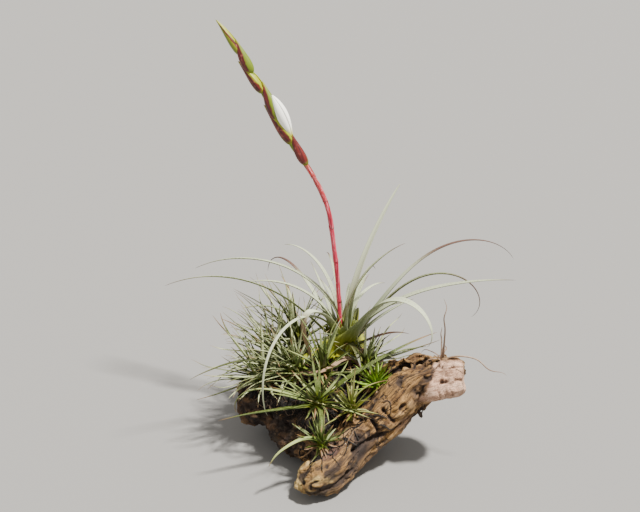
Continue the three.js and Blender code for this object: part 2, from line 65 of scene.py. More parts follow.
# %% [markdown]
# ## Lines and noise
# Wood, leaves and the flower stem all follow smooth lines through a few points.
# A centripetal Catmull-Rom line passes through its points without loops or overshoot,
# so the same few points give the solid model and this finer one the same course.
# Roughness comes from a hashed lattice noise, which is the same on every run.

# %% Smooth lines
def curve(rows, t):
    """A line through the rows at t from 0 to 1: each span is a cubic, whose end slopes weigh the spans next
    to it by the square root of their lengths."""
    rows = np.asarray(rows, float)
    t = np.clip(np.asarray(t, float), 0, 1)
    padded = np.vstack([2 * rows[0] - rows[1], rows, 2 * rows[-1] - rows[-2]])
    place = np.minimum(t * (len(rows) - 1), len(rows) - 1 - 1e-9)
    i = place.astype(int)
    w = (place - i)[..., None]
    p0, p1, p2, p3 = (padded[i + k] for k in range(4))
    spans = ((p0, p1), (p1, p2), (p2, p3))
    d0, d1, d2 = (np.sum((b - a) ** 2, -1, keepdims=True) ** 0.25 for a, b in spans)
    d1 = np.where(d1 < 1e-4, 1, d1)
    d0 = np.where(d0 < 1e-4, d1, d0)
    d2 = np.where(d2 < 1e-4, d1, d2)
    m1 = ((p1 - p0) / d0 - (p2 - p0) / (d0 + d1) + (p2 - p1) / d1) * d1
    m2 = ((p2 - p1) / d1 - (p3 - p1) / (d1 + d2) + (p3 - p2) / d2) * d1
    return p1 + w * (m1 + w * (3 * (p2 - p1) - 2 * m1 - m2 + w * (2 * (p1 - p2) + m1 + m2)))


def unit(v):
    """Vectors made one long."""
    return v / np.maximum(np.linalg.norm(v, axis=-1, keepdims=True), 1e-9)


def heading(rows, t):
    """The direction of a line: the difference of two points close on either side of t."""
    t = np.asarray(t, float)
    return unit(curve(rows, t + 1e-4) - curve(rows, t - 1e-4))


def sideways(tangent):
    """The level direction across a line, and the one square to both, which points up."""
    side = unit(np.cross(tangent, [0, 0, 1.0]))
    return side, np.cross(side, tangent)


def rolled(side, top, angle):
    """Both directions across a line, turned round it: side cos + top sin, and top cos - side sin."""
    return side * np.cos(angle) + top * np.sin(angle), top * np.cos(angle) - side * np.sin(angle)


def smooth(low, high, x):
    """A soft step from 0 at low to 1 at high."""
    t = np.clip((x - low) / (high - low), 0, 1)
    return t * t * (3 - 2 * t)


# %% Noise
MASK = 0xFFFFFFFF


def lattice(i, j, k, seed):
    """A fixed value from -1 to 1 for each whole-number place, by multiplying and folding its bits."""
    h = (i * 374761393 + j * 668265263 + k * 2147483647 + seed * 1013) & MASK
    h = ((h ^ (h >> 13)) * 1274126177) & MASK
    return (h ^ (h >> 16)) / 2147483648 - 1


def noise(x, y, z, seed=0):
    """Smooth noise from -1 to 1: the eight lattice values round a place, blended with soft steps."""
    base = [np.floor(v).astype(np.int64) for v in (x, y, z)]
    u, v, w = (smooth(0, 1, c - b) for c, b in zip((x, y, z), base))
    i, j, k = base
    mix = lambda a, b, t: a + (b - a) * t
    face = lambda n: mix(
        mix(lattice(i, j, n, seed), lattice(i + 1, j, n, seed), u),
        mix(lattice(i, j + 1, n, seed), lattice(i + 1, j + 1, n, seed), u), v)
    return mix(face(k), face(k + 1), w)


def rough(p, scale, seed, octaves=3):
    """Noise of points at a scale in mm, with each finer octave half as strong."""
    total = sum(noise(*(p * 2**o / scale + 31 * o).T, seed + o) / 2**o for o in range(octaves))
    return total / (2 - 0.5 ** (octaves - 1))


def random_from(seed):
    """A repeatable stream of numbers from 0 to 1, by adding, multiplying and folding 32 bits."""
    state = seed & MASK
    while True:
        state = (state + 0x6D2B79F5) & MASK
        t = ((state ^ (state >> 15)) * (1 | state)) & MASK
        t ^= (t + ((t ^ (t >> 7)) * (61 | t)) & MASK) & MASK
        yield ((t ^ (t >> 14)) & MASK) / 4294967296


# %% [markdown]
# ## From arrays to meshes
# A leaf, a root or a stem is a closed tube: rings of points with a single point at each end.
# Thousands of them go into one mesh together, because Blender is quick with large arrays.

# %% Tubes and pieces
def tubes(rings, ends):
    """Vertices and faces of many closed tubes. Rings are tube by row by column, and ends are the two end
    points. Walls are quads between rings, and the ends are fans of triangles. A tube whose rings turn the
    wrong way round its run, by the sign of ring area times run, has its faces reversed."""
    many, rows, cols, _ = rings.shape
    verts = np.concatenate([rings.reshape(-1, 3), ends.reshape(-1, 3)])
    index = np.arange(many * rows * cols).reshape(many, rows, cols)
    after = np.roll(index, -1, 2)
    quads = np.stack([index[:, :-1], index[:, 1:], after[:, 1:], after[:, :-1]], -1)
    foot = many * rows * cols + 2 * np.arange(many)[:, None] + np.zeros(cols, int)
    tris = np.stack([np.stack([foot, index[:, 0], after[:, 0]], -1),
                     np.stack([foot + 1, after[:, -1], index[:, -1]], -1)], 1)
    middle = rings - rings.mean(2, keepdims=True)
    area = np.cross(middle, np.roll(middle, -1, 2)).sum(2)
    run = np.gradient(rings.mean(2), axis=1)
    turned = (area * run).sum((1, 2)) > 0
    quads[turned] = quads[turned][..., ::-1]
    tris[turned] = tris[turned][..., ::-1]
    return verts, quads.reshape(-1, 4), tris.reshape(-1, 3)


def spread(values, ends):
    """Values of a tube's rings and ends in the order of its vertices."""
    values, ends = np.asarray(values, float), np.asarray(ends, float)
    return np.concatenate([values.ravel(), ends.ravel()])


def on_tube(shape, value, ends):
    """A value of one tube of rows by columns: over its rings, and at its two ends."""
    return spread(np.broadcast_to(value, shape), np.broadcast_to(ends, 2))


def joined(parts):
    """Several sets of vertices, faces and values as one set."""
    shift = np.cumsum([0] + [len(p[0]) for p in parts[:-1]])
    return (np.concatenate([p[0] for p in parts]),
            np.concatenate([p[1] + s for p, s in zip(parts, shift)]),
            np.concatenate([p[2] + s for p, s in zip(parts, shift)]),
            {k: np.concatenate([p[3][k] for p in parts]) for k in parts[0][3]})


def mesh_from(name, verts, quads, tris):
    """A smooth mesh in metres from vertices in millimetres, quads and triangles."""
    mesh = bpy.data.meshes.new(name)
    mesh.vertices.add(len(verts))
    mesh.vertices.foreach_set("co", (verts * MM).astype(np.float32).ravel())
    corners = np.concatenate([quads.ravel(), tris.ravel()]).astype(np.int32)
    mesh.loops.add(len(corners))
    mesh.loops.foreach_set("vertex_index", corners)
    starts = np.concatenate([np.arange(len(quads)) * 4, len(quads) * 4 + np.arange(len(tris)) * 3])
    mesh.polygons.add(len(starts))
    mesh.polygons.foreach_set("loop_start", starts.astype(np.int32))
    mesh.update(calc_edges=True)
    mesh.shade_smooth()
    return mesh


def values_on(mesh, values):
    """Named values at the mesh's vertices: numbers, or vectors of three."""
    for name, data in values.items():
        kind = "FLOAT" if data.ndim == 1 else "FLOAT_VECTOR"
        layer = mesh.attributes.new(name, kind, "POINT")
        layer.data.foreach_set("value" if data.ndim == 1 else "vector", data.astype(np.float32).ravel())


def uv_on(mesh, u, v):
    """A UV map in millimetres from two values at each vertex."""
    layer = mesh.uv_layers.new(name="millimetres")
    corner = np.empty(len(mesh.loops), np.int32)
    mesh.loops.foreach_get("vertex_index", corner)
    layer.data.foreach_set("uv", np.stack([u[corner], v[corner]], -1).astype(np.float32).ravel())


def moved_to(mesh, points):
    """Puts a mesh's vertices at new places, in mm."""
    mesh.vertices.foreach_set("co", (points * MM).astype(np.float32).ravel())
    mesh.update()


def surface(name, parts, keys, map_of=None):
    """One mesh from several parts, with the named values, and a UV map if map_of makes one of them."""
    verts, quads, tris, values = joined(parts)
    mesh = mesh_from(name, verts, quads, tris)
    values_on(mesh, {key: values[key] for key in keys})
    if map_of:
        uv_on(mesh, *map_of(values))
    return mesh


def in_scene(name, data):
    """A new object in the scene, from its mesh, camera or light."""
    obj = bpy.data.objects.new(name, data)
    bpy.context.scene.collection.objects.link(obj)
    return obj


def piece(name, mesh, material, slot, *nodes):
    """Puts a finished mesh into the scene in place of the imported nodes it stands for."""
    obj = in_scene(name, mesh)
    mesh.materials.clear()
    mesh.materials.append(material)
    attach(obj, "root")
    if nodes:
        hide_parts(*nodes)
    mesh.calc_loop_triangles()
    print(f"{name}: {len(mesh.loop_triangles)} triangles")


# %% [markdown]
# ## Building materials from nodes
# Each material is a Principled shader fed by small networks.
# A short helper sets a node's values or links, so that a network reads like a formula.

# %% Node helpers
def rgb(r, g, b):
    """A colour from its red, green and blue, not see-through."""
    return (r, g, b, 1.0)


class Net:
    """A shader tree that is being wired. Each method adds a node and gives back its output."""

    def __init__(self, tree):
        self.tree = tree

    def feed(self, node, inputs):
        """Sets each input of a node to a value, or links it."""
        for key, value in inputs.items():
            if isinstance(value, bpy.types.NodeSocket):
                self.tree.links.new(value, node.inputs[key])
            else:
                node.inputs[key].default_value = value

    def put(self, kind, inputs, output=0, **settings):
        """A node with its settings and inputs."""
        node = self.tree.nodes.new("ShaderNode" + kind)
        for key, value in settings.items():
            setattr(node, key, value)
        self.feed(node, inputs)
        return node.outputs[output]

    def sums(self, operation, a, b=0.0, c=0.0):
        """One step of arithmetic."""
        return self.put("Math", {0: a, 1: b, 2: c}, operation=operation)

    def blend(self, factor, a, b, how="MIX"):
        """A mix of two colours."""
        settings = {"data_type": "RGBA", "blend_type": how, "clamp_factor": True}
        return self.put("Mix", {0: factor, 6: a, 7: b}, 2, **settings)

    def step(self, value, low, high, to_low=0.0, to_high=1.0):
        """A soft step of a value from low to high."""
        inputs = {0: value, 1: low, 2: high, 3: to_low, 4: to_high}
        return self.put("MapRange", inputs, interpolation_type="SMOOTHSTEP")

    def speckle(self, vector, scale, detail=3.0, harsh=0.55):
        """Noise from 0 to 1 of a vector."""
        return self.put("TexNoise", {"Vector": vector, "Scale": scale, "Detail": detail, "Roughness": harsh})

    def stretch(self, vector, x, y, z=1):
        """A vector with each part scaled."""
        return self.put("VectorMath", {0: vector, 1: (x, y, z)}, operation="MULTIPLY")

    def streaks(self, vector, x, y, z=1, detail=3.0, harsh=0.55):
        """Noise that is long where a vector's scale is small."""
        return self.speckle(self.stretch(vector, x, y, z), 1.0, detail, harsh)

    def attribute(self, name, output="Fac"):
        """A value that the mesh carries."""
        return self.put("Attribute", {}, output, attribute_name=name)

    def on_piece(self):
        """The place on a piece by its own map, in mm."""
        return self.put("UVMap", {}, uv_map="millimetres")

    def use(self, group, inputs):
        """A node group with its own inputs, and all that it puts out."""
        node = self.tree.nodes.new("ShaderNodeGroup")
        node.node_tree = group
        self.feed(node, inputs)
        return node.outputs

    def finish(self, color, roughness, height, depth):
        """Feeds the shader its colour and roughness, and a bump whose height of 1 stands for depth in mm."""
        bump = self.put("Bump", {"Height": height, "Distance": depth * MM, "Strength": 1.0})
        shader = self.tree.nodes["Principled BSDF"]
        self.feed(shader, {"Base Color": color, "Roughness": roughness, "Normal": bump})


def new_group(name, inputs, outputs):
    """An empty node group with named sockets: its net, its inputs and its end node."""
    tree = bpy.data.node_groups.new(name, "ShaderNodeTree")
    for way, sockets in (("INPUT", inputs), ("OUTPUT", outputs)):
        for title, kind in sockets.items():
            tree.interface.new_socket(title, in_out=way, socket_type="NodeSocket" + kind)
    return Net(tree), tree.nodes.new("NodeGroupInput").outputs, tree.nodes.new("NodeGroupOutput")


def material(name, color):
    """A new material and the net of its shader."""
    made = bpy.data.materials.new(name)
    made.use_nodes = True
    made.diffuse_color = color
    return made, Net(made.node_tree)

# %% [markdown]
# ## Camera, light and floor
# The camera looks down 28 degrees from the front, as the photograph does.
# A high sun from the right with soft edges and a pale sky make the plain studio light.

# %% Camera and light
LOOK_DOWN = 28
LENS, SENSOR = 66.2, 36
# the same lens for a frame of 640 points across
FOCAL_POINTS = 1177
camera_data = bpy.data.cameras.new("camera")
camera_data.lens = LENS
camera_data.sensor_width = SENSOR
camera = in_scene("camera", camera_data)
camera.location = (-0.010, -0.690, 0.520)
camera.rotation_euler = (math.radians(90 - LOOK_DOWN), 0, 0)
bpy.context.scene.camera = camera

sun_data = bpy.data.lights.new("sun", "SUN")
sun_data.energy = 11.5
sun_data.angle = math.radians(5)
sun_data.color = (1.0, 0.97, 0.92)
sun = in_scene("sun", sun_data)
sun.rotation_euler = (math.radians(6), math.radians(21), 0)

world = bpy.data.worlds.new("sky")
world.use_nodes = True
world.node_tree.nodes["Background"].inputs[0].default_value = rgb(1.0, 0.97, 0.93)
world.node_tree.nodes["Background"].inputs[1].default_value = 0.9
bpy.context.scene.world = world

FLOOR_COLOR, HALF = rgb(0.2, 0.196, 0.188), 3
floor_mesh = bpy.data.meshes.new("floor")
floor_mesh.from_pydata([(-HALF, -HALF, 0), (HALF, -HALF, 0), (HALF, HALF, 0), (-HALF, HALF, 0)],
                       [], [(0, 1, 2, 3)])
floor = in_scene("floor", floor_mesh)
floor_paint, net = material("pale floor", FLOOR_COLOR)
net.feed(net.tree.nodes["Principled BSDF"], {"Base Color": FLOOR_COLOR, "Roughness": 0.85})
floor_mesh.materials.append(floor_paint)
floor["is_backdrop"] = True
print("camera at", tuple(camera.location))

# %% [markdown]
# ## The wood's form
# The real piece is a forked branch, rotted at the left and broken off square at the right.
# It could be sculpted by hand, but a few stretched and roughened balls along lines give its lobes,
# and a voxel remesh melts them into one skin with even faces that can carry splits and grain.

# %% Lobes of the wood
# a lobe's rows: a place on its line, and its sizes to the side and up. A ball's: its place and three radii
ARM = np.array([
    [-24, -64, 11, 10, 9], [-13, -59, 13, 13, 12], [3, -43, 18, 15, 13], [20, -29, 29, 13, 13],
    [37, -20, 42, 13, 14], [54, -13, 54, 13, 15], [70, -13, 61, 13, 15], [80, -15, 65, 11, 14],
    [88, -17, 67, 10, 12]], float)
LEFT_LOBE = np.array([
    [-66, 2, 24, 9, 9], [-56, 10, 25, 15, 15], [-42, 18, 25, 17, 18], [-20, 24, 24, 16, 17]], float)
BACK_LOBE = np.array([
    [-30, 40, 24, 13, 15], [-10, 42, 26, 19, 21], [14, 40, 27, 22, 22], [40, 26, 32, 17, 18]], float)
BARK_RIDGE = np.array([
    [36, 1, 54, 4, 5], [42, 2, 60, 5, 6], [50, 1.5, 65, 5.5, 6], [60, 0, 69.5, 5.5, 6.5],
    [68, -2, 72.5, 4.5, 5.5], [72, -3, 73.5, 3, 4]], float)
WOOD_LINES = (ARM, LEFT_LOBE, BACK_LOBE, BARK_RIDGE)
BELLY = np.array([[-4, -2, 19], [43, 41, 22]], float)
TWIG = np.array([[50, -26, 46], [62, -28, 44]], float)
TWIG_R = 2.6


def lobe(rows, around, along, seed):
    """A ball stretched along a line, squarish across: the ring's radius is the side and top sizes times a
    superellipse of power 3, times an end that closes as a power 8 curve, times one plus noise."""
    s = ((1 - np.cos(np.pi * (np.arange(along) + 1) / (along + 1))) / 2)[:, None]
    angle = 2 * np.pi * np.arange(around) / around
    a, b = np.cos(angle), np.sin(angle)
    square = (np.abs(a) ** 3 + np.abs(b) ** 3) ** (-1 / 3)
    end = (1 - np.abs(2 * s - 1) ** 8) ** (1 / 3)
    a, b, s2 = np.broadcast_arrays(a, b, s)
    lumps = (1 + 0.13 * noise(a * 1.7 + 5, b * 1.7 + 5, s2 * 7, seed)
             + 0.07 * noise(a * 4 + 9, b * 4 + 9, s2 * 5, seed + 1))
    r = (square * end * lumps)[..., None]
    size = curve(rows[:, 3:], s[:, 0])[:, None]
    side, top = sideways(heading(rows[:, :3], s[:, 0]))
    rings = (curve(rows[:, :3], s[:, 0])[:, None] + side[:, None] * a[..., None] * size[..., :1] * r
             + top[:, None] * b[..., None] * size[..., 1:] * r)
    return tubes(rings[None], curve(rows[:, :3], [0.0, 1.0])[None])


def boulder(at, radii, around, along, seed):
    """A ball with its own three radii, times one plus noise of the direction."""
    polar = np.pi * (np.arange(along) + 1) / (along + 1)
    angle = 2 * np.pi * np.arange(around) / around
    x, z = -np.cos(angle) * np.sin(polar)[:, None], np.sin(angle) * np.sin(polar)[:, None]
    y = np.broadcast_to(np.cos(polar)[:, None], x.shape)
    r = 1 + 0.08 * noise(x * 2 + 7, y * 2 + 7, z * 2 + 7, seed)
    rings = np.stack([at[0] + x * radii[0] * r, at[1] - z * radii[1] * r, at[2] + y * radii[2] * r], -1)
    ends = np.array([[at[0], at[1], at[2] + radii[2]], [at[0], at[1], at[2] - radii[2]]], float)
    return tubes(rings[None], ends[None])


def pipe(path, radius, around, seed=0, ragged=0.0):
    """A round tube along a path of points: a radius at each, times one plus noise of the place round it."""
    tangent = unit(np.gradient(path, axis=0))
    side, top = sideways(tangent)
    angle = 2 * np.pi * np.arange(around) / around
    bumps = noise(np.cos(angle)[None] * 2, np.sin(angle)[None] * 2, np.arange(len(path))[:, None] * 0.3, seed)
    r = radius[:, None] * (1 + ragged * bumps)
    rings = (path[:, None] + side[:, None] * (np.cos(angle) * r)[..., None]
             + top[:, None] * (np.sin(angle) * r)[..., None])
    return tubes(rings[None], path[[0, -1]][None])


def melted(name, parts, voxel):
    """One even skin round several overlapping closed forms, by a voxel remesh."""
    whole = joined([(*p, {}) for p in parts])
    raw = in_scene(name + "_raw", mesh_from(name + "_raw", *whole[:3]))
    remesh = raw.modifiers.new("skin", "REMESH")
    remesh.mode = "VOXEL"
    remesh.voxel_size = voxel * MM
    bpy.context.view_layer.update()
    mesh = bpy.data.meshes.new_from_object(raw.evaluated_get(bpy.context.evaluated_depsgraph_get()))
    mesh.name = name
    old = raw.data
    bpy.data.objects.remove(raw)
    bpy.data.meshes.remove(old)
    mesh.shade_smooth()
    return mesh


def read(mesh):
    """A mesh's places and outward directions, in mm."""
    place, normal = np.empty(len(mesh.vertices) * 3), np.empty(len(mesh.vertices) * 3)
    mesh.vertices.foreach_get("co", place)
    mesh.vertices.foreach_get("normal", normal)
    return place.reshape(-1, 3) / MM, normal.reshape(-1, 3)


BLOCK = np.array([[80, -17, 67], [11.5, 13.5, 14]], float)
# plates of bark that stand up from the ridge
SHELLS = np.array([
    [[38, 4, 57, 4, 2], [39, 3, 64, 4.6, 1.9], [41, 1, 71, 2.6, 1.2]],
    [[45, 3, 61, 3.6, 1.9], [46, 2, 68, 4, 1.7], [49, 0, 74, 2, 1]],
    [[50, -13, 61, 3, 4], [63, -8, 70, 3.6, 5], [78, 1, 77, 2, 3]],
    [[49, -5, 62, 3, 3.6], [58, -2, 69, 3, 4.6], [68, 3, 74.5, 1.8, 2.8]]], float)
# fuller forms at the left lobe and under the pale block
STUMP = np.array([[-60, 19, 33], [10, 10, 12]], float)
BLOCK_FOOT = np.array([[68, -20, 63], [11, 11, 10]], float)
twig_path = TWIG[0] + (TWIG[1] - TWIG[0]) * np.linspace(-0.3, 1, 12)[:, None]
wood_mesh = melted("driftwood", [
    lobe(ARM, 72, 110, 11), lobe(LEFT_LOBE, 64, 60, 23), lobe(BACK_LOBE, 64, 60, 31),
    lobe(BARK_RIDGE, 48, 60, 37),
    boulder(BELLY[0], BELLY[1], 72, 44, 41), boulder(BLOCK[0], BLOCK[1], 48, 32, 43),
    boulder(STUMP[0], STUMP[1], 44, 30, 44), boulder(BLOCK_FOOT[0], BLOCK_FOOT[1], 44, 30, 48),
    *(lobe(rows, 24, 40, 45 + i) for i, rows in enumerate(SHELLS)),
    pipe(twig_path, TWIG_R * np.linspace(1.15, 0.5, 12), 14, 3, 0.25)], voxel=0.9)
print("wood skin", len(wood_mesh.vertices), "points")

# %% [markdown]
# ## Grain, splits and rot
# Weathered wood wears away between its harder fibres, so ridges and splits run along the branch.
# Each point therefore gets a place in its branch's own frame: across, up, and along.
# Noise that is short across and long along then draws grain on every side, with no seam.

# %% Places along the branches
def grain_places(p):
    """For each point, its offset across and above the nearest branch line, and its distance along it."""
    best, places = None, None
    for number, rows in enumerate(WOOD_LINES):
        t = np.linspace(0, 1, 70)
        line = curve(rows[:, :3], t)
        size = curve(rows[:, 3:], t).mean(1)
        side, top = sideways(heading(rows[:, :3], t))
        gap = p[:, None] - line[None]
        away = np.linalg.norm(gap, axis=-1) / size
        near = away.argmin(1)
        least = away[np.arange(len(p)), near]
        off = gap[np.arange(len(p)), near]
        length = np.concatenate([[0], np.cumsum(np.linalg.norm(np.diff(line, axis=0), axis=1))])
        tangent = heading(rows[:, :3], t)
        here = np.stack([(off * side[near]).sum(1), (off * top[near]).sum(1),
                         length[near] + (off * tangent[near]).sum(1) + 200 * number], -1)
        if best is None:
            best, places = least, here
        else:
            places = np.where((least < best)[:, None], here, places)
            best = np.minimum(least, best)
    return places


def segment_distance(p, a, b):
    """Each point's distance from a straight piece, by the nearest place along it."""
    a, b = np.asarray(a, float), np.asarray(b, float)
    t = np.clip(((p - a) @ (b - a)) / ((b - a) @ (b - a)), 0, 1)
    return np.linalg.norm(p - a - t[:, None] * (b - a), axis=1)


wood_at, wood_out = read(wood_mesh)
grain = grain_places(wood_at)
print("grain places", grain.min(0).round(), grain.max(0).round())

# %% Breaking the end off square
# a place on each broken face and the way it faces
BREAKS = [
    ((88.5, -17, 67), (0.98, -0.05, 0.18)), ((80, -27, 71), (0.12, -0.8, 0.58)),
    ((80, -24, 56.5), (0.15, -0.3, -0.94)), ((80, -14, 79.5), (-0.08, 0.35, 0.93))]
pale = smooth(56.5, 60, wood_at[:, 0] - 0.41 * (wood_at[:, 2] - 55) + 2 * rough(wood_at, 6, 51))
pale *= smooth(-10, -15, wood_at[:, 1] + 1.5 * rough(wood_at, 6, 55))
pale *= smooth(52.5, 56, wood_at[:, 2] + 1.5 * rough(wood_at, 5, 54))
for spot, way in BREAKS:
    way = unit(np.array(way))
    over = ((wood_at - spot) * way).sum(1) + 0.5 * rough(wood_at, 7, 56)
    near_end = smooth(62, 70, wood_at[:, 0])
    wood_at = wood_at - way * (np.maximum(over, 0) * near_end)[:, None]
moved_to(wood_mesh, wood_at)
wood_at, wood_out = read(wood_mesh)
print("broken end", (pale > 0.5).sum(), "points")

# %% Splits, knots and zones
# where each split starts and stops, its width and its depth
SPLITS = [
    ([5, -58, 12], [9, -57, 17], 1.8, 3.5), ([13, -49, 31], [24, -42, 33], 1.9, 5),
    ([24, -42, 33], [36, -35, 35.5], 1.9, 5), ([36, -35, 35.5], [45, -32, 39], 1.3, 3),
    ([2, -63, 14], [12, -53, 17], 1.2, 2.4), ([25, -34, 45], [29.5, -38, 39], 1.3, 3.5),
    ([33, -31.5, 51], [40, -33, 43], 1.3, 3.5), ([40, -4, 60], [49, -4, 69], 2.0, 3.5),
    ([52, -12, 66], [72, -2, 79], 1.2, 4), ([55, -16, 64], [68, -13, 74], 0.9, 2.5),
    ([45.7, -15, 67], [52, -7, 68.5], 1.2, 3), ([52, -7, 68.5], [64, -3, 77], 1.1, 3),
    ([58, -25, 58], [63, -23, 71], 1.0, 3), ([63, -23, 71], [69, -17, 77], 1.1, 3.5),
    ([69, -17, 77], [73, -9, 80], 1.1, 3), ([72.4, -26, 70.3], [75, -26, 70.6], 1.3, 5),
    ([60.9, -25, 62], [61.1, -25, 61.6], 0.7, 3), ([-60, 6, 42], [-56, 12, 44], 3, 4),
    ([-40, -10, 36], [-30, -22, 30], 1.6, 3), ([-62, 2, 30], [-50, -4, 26], 1.5, 3)]
# the middle of each knot and its radius
KNOTS = [((15.8, -42.4, 36.5), 5.5), ((-60, 16, 44), 5), ((-67, 8, 31), 4), ((46, -29, 52), 4.5)]
CREAM_TIP, STAIN = [-20, -64, 14], [-7, -45, 25]
x, y, z = wood_at.T


def round_about(spot, scales, grain_size, strength, seed):
    """Each point's distance from a spot, scaled along each axis, with a rough edge."""
    return np.linalg.norm((wood_at - spot) * scales, axis=1) + strength * rough(wood_at, grain_size, seed)


cream = smooth(26, 12, round_about(CREAM_TIP, [1, 1, 1.1], 9, 5, 53))
left_rot = smooth(-18, -30, x + 6 * rough(wood_at, 14, 57)) * smooth(-44, -24, y)
back_rot = smooth(4, 16, y + 6 * rough(wood_at, 14, 59)) * smooth(52, 38, x)
rot = np.maximum(left_rot, 0.8 * back_rot)
crest = smooth(40, 46, x) * smooth(82, 76, x) * smooth(-16, -10, y) * smooth(-3, 3, z - 0.48 * x - 38)
stain = smooth(14, 7, round_about(STAIN, [0.8, 1.1, 1], 6, 4, 87))
under_bark = smooth(33, 38, x) * smooth(50, 45, x) * smooth(58, 63, z)
under_bark *= smooth(0, 3, y + 1.5 * rough(wood_at, 5, 76))
under_bark = np.maximum(under_bark, 0.85 * stain)
print("cream", (cream > 0.5).sum(), "rotten", (rot > 0.5).sum(), "points")

# %% Relief
across, above, far = grain.T
bent = 2.2 * rough(wood_at, 13, 60)


def in_grain(side_scale, along_scale, seed, lean=-1):
    """Noise in the branch's own frame: fine across and long along, bent by a wider noise."""
    return noise((across + bent) * side_scale, (above + lean * bent) * side_scale, far * along_scale, seed)


seams = 1 - np.abs(in_grain(0.15, 0.022, 65, 1))
flakes = 2.6 * in_grain(0.11, 0.04, 67, 1)
plates = (np.floor(flakes) + smooth(0.72, 1.0, flakes - np.floor(flakes))) / 2.6
lumps = rough(wood_at, 15, 69)
pits = smooth(0.35, 0.75, rough(wood_at, 5.5, 70, 2))
calm = 1 - 0.8 * pale
relief = calm * (0.9 * in_grain(0.42, 0.045, 61) + 0.5 * in_grain(1.05, 0.12, 63) + 2.6 * plates - 1.6 * pits)
relief += calm * (1.7 * lumps - 1.5 * smooth(0.93, 1.0, seams))
relief += cream * (1.9 * rough(wood_at, 5, 71) - 0.4)
relief += rot * (2.6 * rough(wood_at, 4.5, 73) - 0.8)
folds = 1 - np.abs(rough(wood_at, 7.5, 74, 2))
relief += pale * (1.2 * rough(wood_at, 7, 78) - 1.3 * smooth(0.84, 1.0, folds))
depth = np.zeros(len(x))
for start, stop, wide, deep in SPLITS:
    gap = segment_distance(wood_at, start, stop)
    depth += deep * smooth(wide * 1.5, wide * 0.3, gap + 0.7 * rough(wood_at, 4, 75))
fluting = 2.6 * noise((x - 0.5 * y) * 0.1, (y + 0.5 * x) * 0.34, z * 0.12, 85)
fluting = crest * (fluting + 1.5 * rough(wood_at, 3.4, 86, 2))
relief += fluting - np.minimum(depth, 4.5) - 1.6 * stain
ringed = np.zeros(len(x))
for spot, wide in KNOTS:
    gap = round_about(spot, 1, 4, 0.8, 79)
    ringed += smooth(wide * 1.5, wide * 0.8, gap) * (0.5 + 0.5 * np.cos(gap * 2.6))
    relief += 1.2 * np.exp(-(((gap - wide) / 1.3) ** 2)) - 2.2 * smooth(2.2, 0.6, gap)
ringed = np.minimum(ringed, 1)
relief -= 0.7 * ringed
moved = wood_at + wood_out * relief[:, None]
moved[:, 2] = np.maximum(moved[:, 2], 0)
moved_to(wood_mesh, moved)
# how sunk each place is: the paint makes raised places worn pale and sunk ones darker with dirt and painted
# shade
hollow = 0.5 - 0.25 * (relief - calm * 1.7 * lumps - 0.75 * fluting)
hollow += 0.16 * np.minimum(depth, 3) + 0.2 * ringed - 0.38 * crest
values_on(wood_mesh, {"grain": grain, "hollow": np.clip(hollow, 0, 1), "pale": pale, "cream": cream,
                      "rot": rot, "flake": under_bark})
print("relief from", relief.min().round(1), "to", relief.max().round(1), "mm")

# %% [markdown]
# ## The wood's finish
# Sun and water leave driftwood tan and ochre, with dark lines where dirt sits in the grain, and its sunk
# places are painted darker with dirt and painted shade.
# The broken end is fresh and greyish pink, the low tip is cream, and the left lobe is dark with rot.
# The colours are mixed from the zones found above and from grain drawn in the branches' own frame.

# %% Weathered wood
net, ins, ends = new_group(
    "Weathered grain",
    {"Place": "Vector", "Light": "Color", "Middle": "Color", "Dark": "Color", "Sound": "Float"},
    {"Color": "Color", "Height": "Float"})
place = ins["Place"]
lines = net.streaks(place, 1.5, 1.5, 0.07, 6.0, 0.65)
hairs = net.streaks(place, 5.0, 5.0, 0.25, 3.0, 0.6)
patches = net.streaks(place, 0.16, 0.16, 0.05, 3.0, 0.5)
body = net.blend(net.step(patches, 0.38, 0.62), ins["Light"], ins["Middle"])
body = net.blend(net.step(lines, 0.56, 0.36), body, ins["Dark"])
body = net.blend(net.step(hairs, 0.55, 0.35, 0.0, 0.55), body, ins["Dark"])
# cracks run along the edges of long bent cells, but not where the wood is sound
bend = net.sums("MULTIPLY", net.speckle(place, 0.12, 3.0), 1.3)
warped = net.put("VectorMath", {0: net.stretch(place, 0.1, 0.1, 0.042), 1: bend}, operation="ADD")
edges = net.put("TexVoronoi", {"Vector": warped, "Scale": 1.0}, feature="DISTANCE_TO_EDGE")
whole = net.sums("MAXIMUM", net.step(edges, 0.004, 0.05), net.step(net.speckle(place, 0.09, 2.0), 0.58, 0.48))
whole = net.sums("MAXIMUM", whole, ins["Sound"])
body = net.blend(whole, net.blend(0.75, ins["Dark"], rgb(0.012, 0.006, 0.003)), body)
height = net.sums("MULTIPLY_ADD", lines, 0.5, net.sums("MULTIPLY", hairs, 0.2))
net.feed(ends, {"Color": body, "Height": net.sums("MULTIPLY_ADD", whole, 0.4, height)})
grain_group = net.tree

# %% Wood paint
wood_paint, net = material("weathered wood", rgb(0.22, 0.14, 0.08))
place = net.attribute("grain", "Vector")
bark = net.use(grain_group, {
    "Place": place, "Light": rgb(0.37, 0.2, 0.058), "Middle": rgb(0.13, 0.062, 0.018),
    "Dark": rgb(0.025, 0.01, 0.004), "Sound": 0.0})
broken = net.use(grain_group, {
    "Place": place, "Light": rgb(0.77, 0.52, 0.37), "Middle": rgb(0.6, 0.37, 0.25),
    "Dark": rgb(0.28, 0.15, 0.09), "Sound": 1.0})
object_place = net.put("TexCoord", {}, "Object")
blotch = net.speckle(object_place, 90.0, 4.0)
wide_blotch = net.speckle(object_place, 30.0, 3.0)
grit = net.speckle(object_place, 520.0, 3.0, 0.7)
lichen = net.blend(net.step(blotch, 0.4, 0.6), rgb(0.24, 0.13, 0.034), rgb(0.56, 0.4, 0.15))
decay = net.blend(net.step(blotch, 0.42, 0.62), rgb(0.003, 0.0015, 0.001), rgb(0.07, 0.033, 0.014))
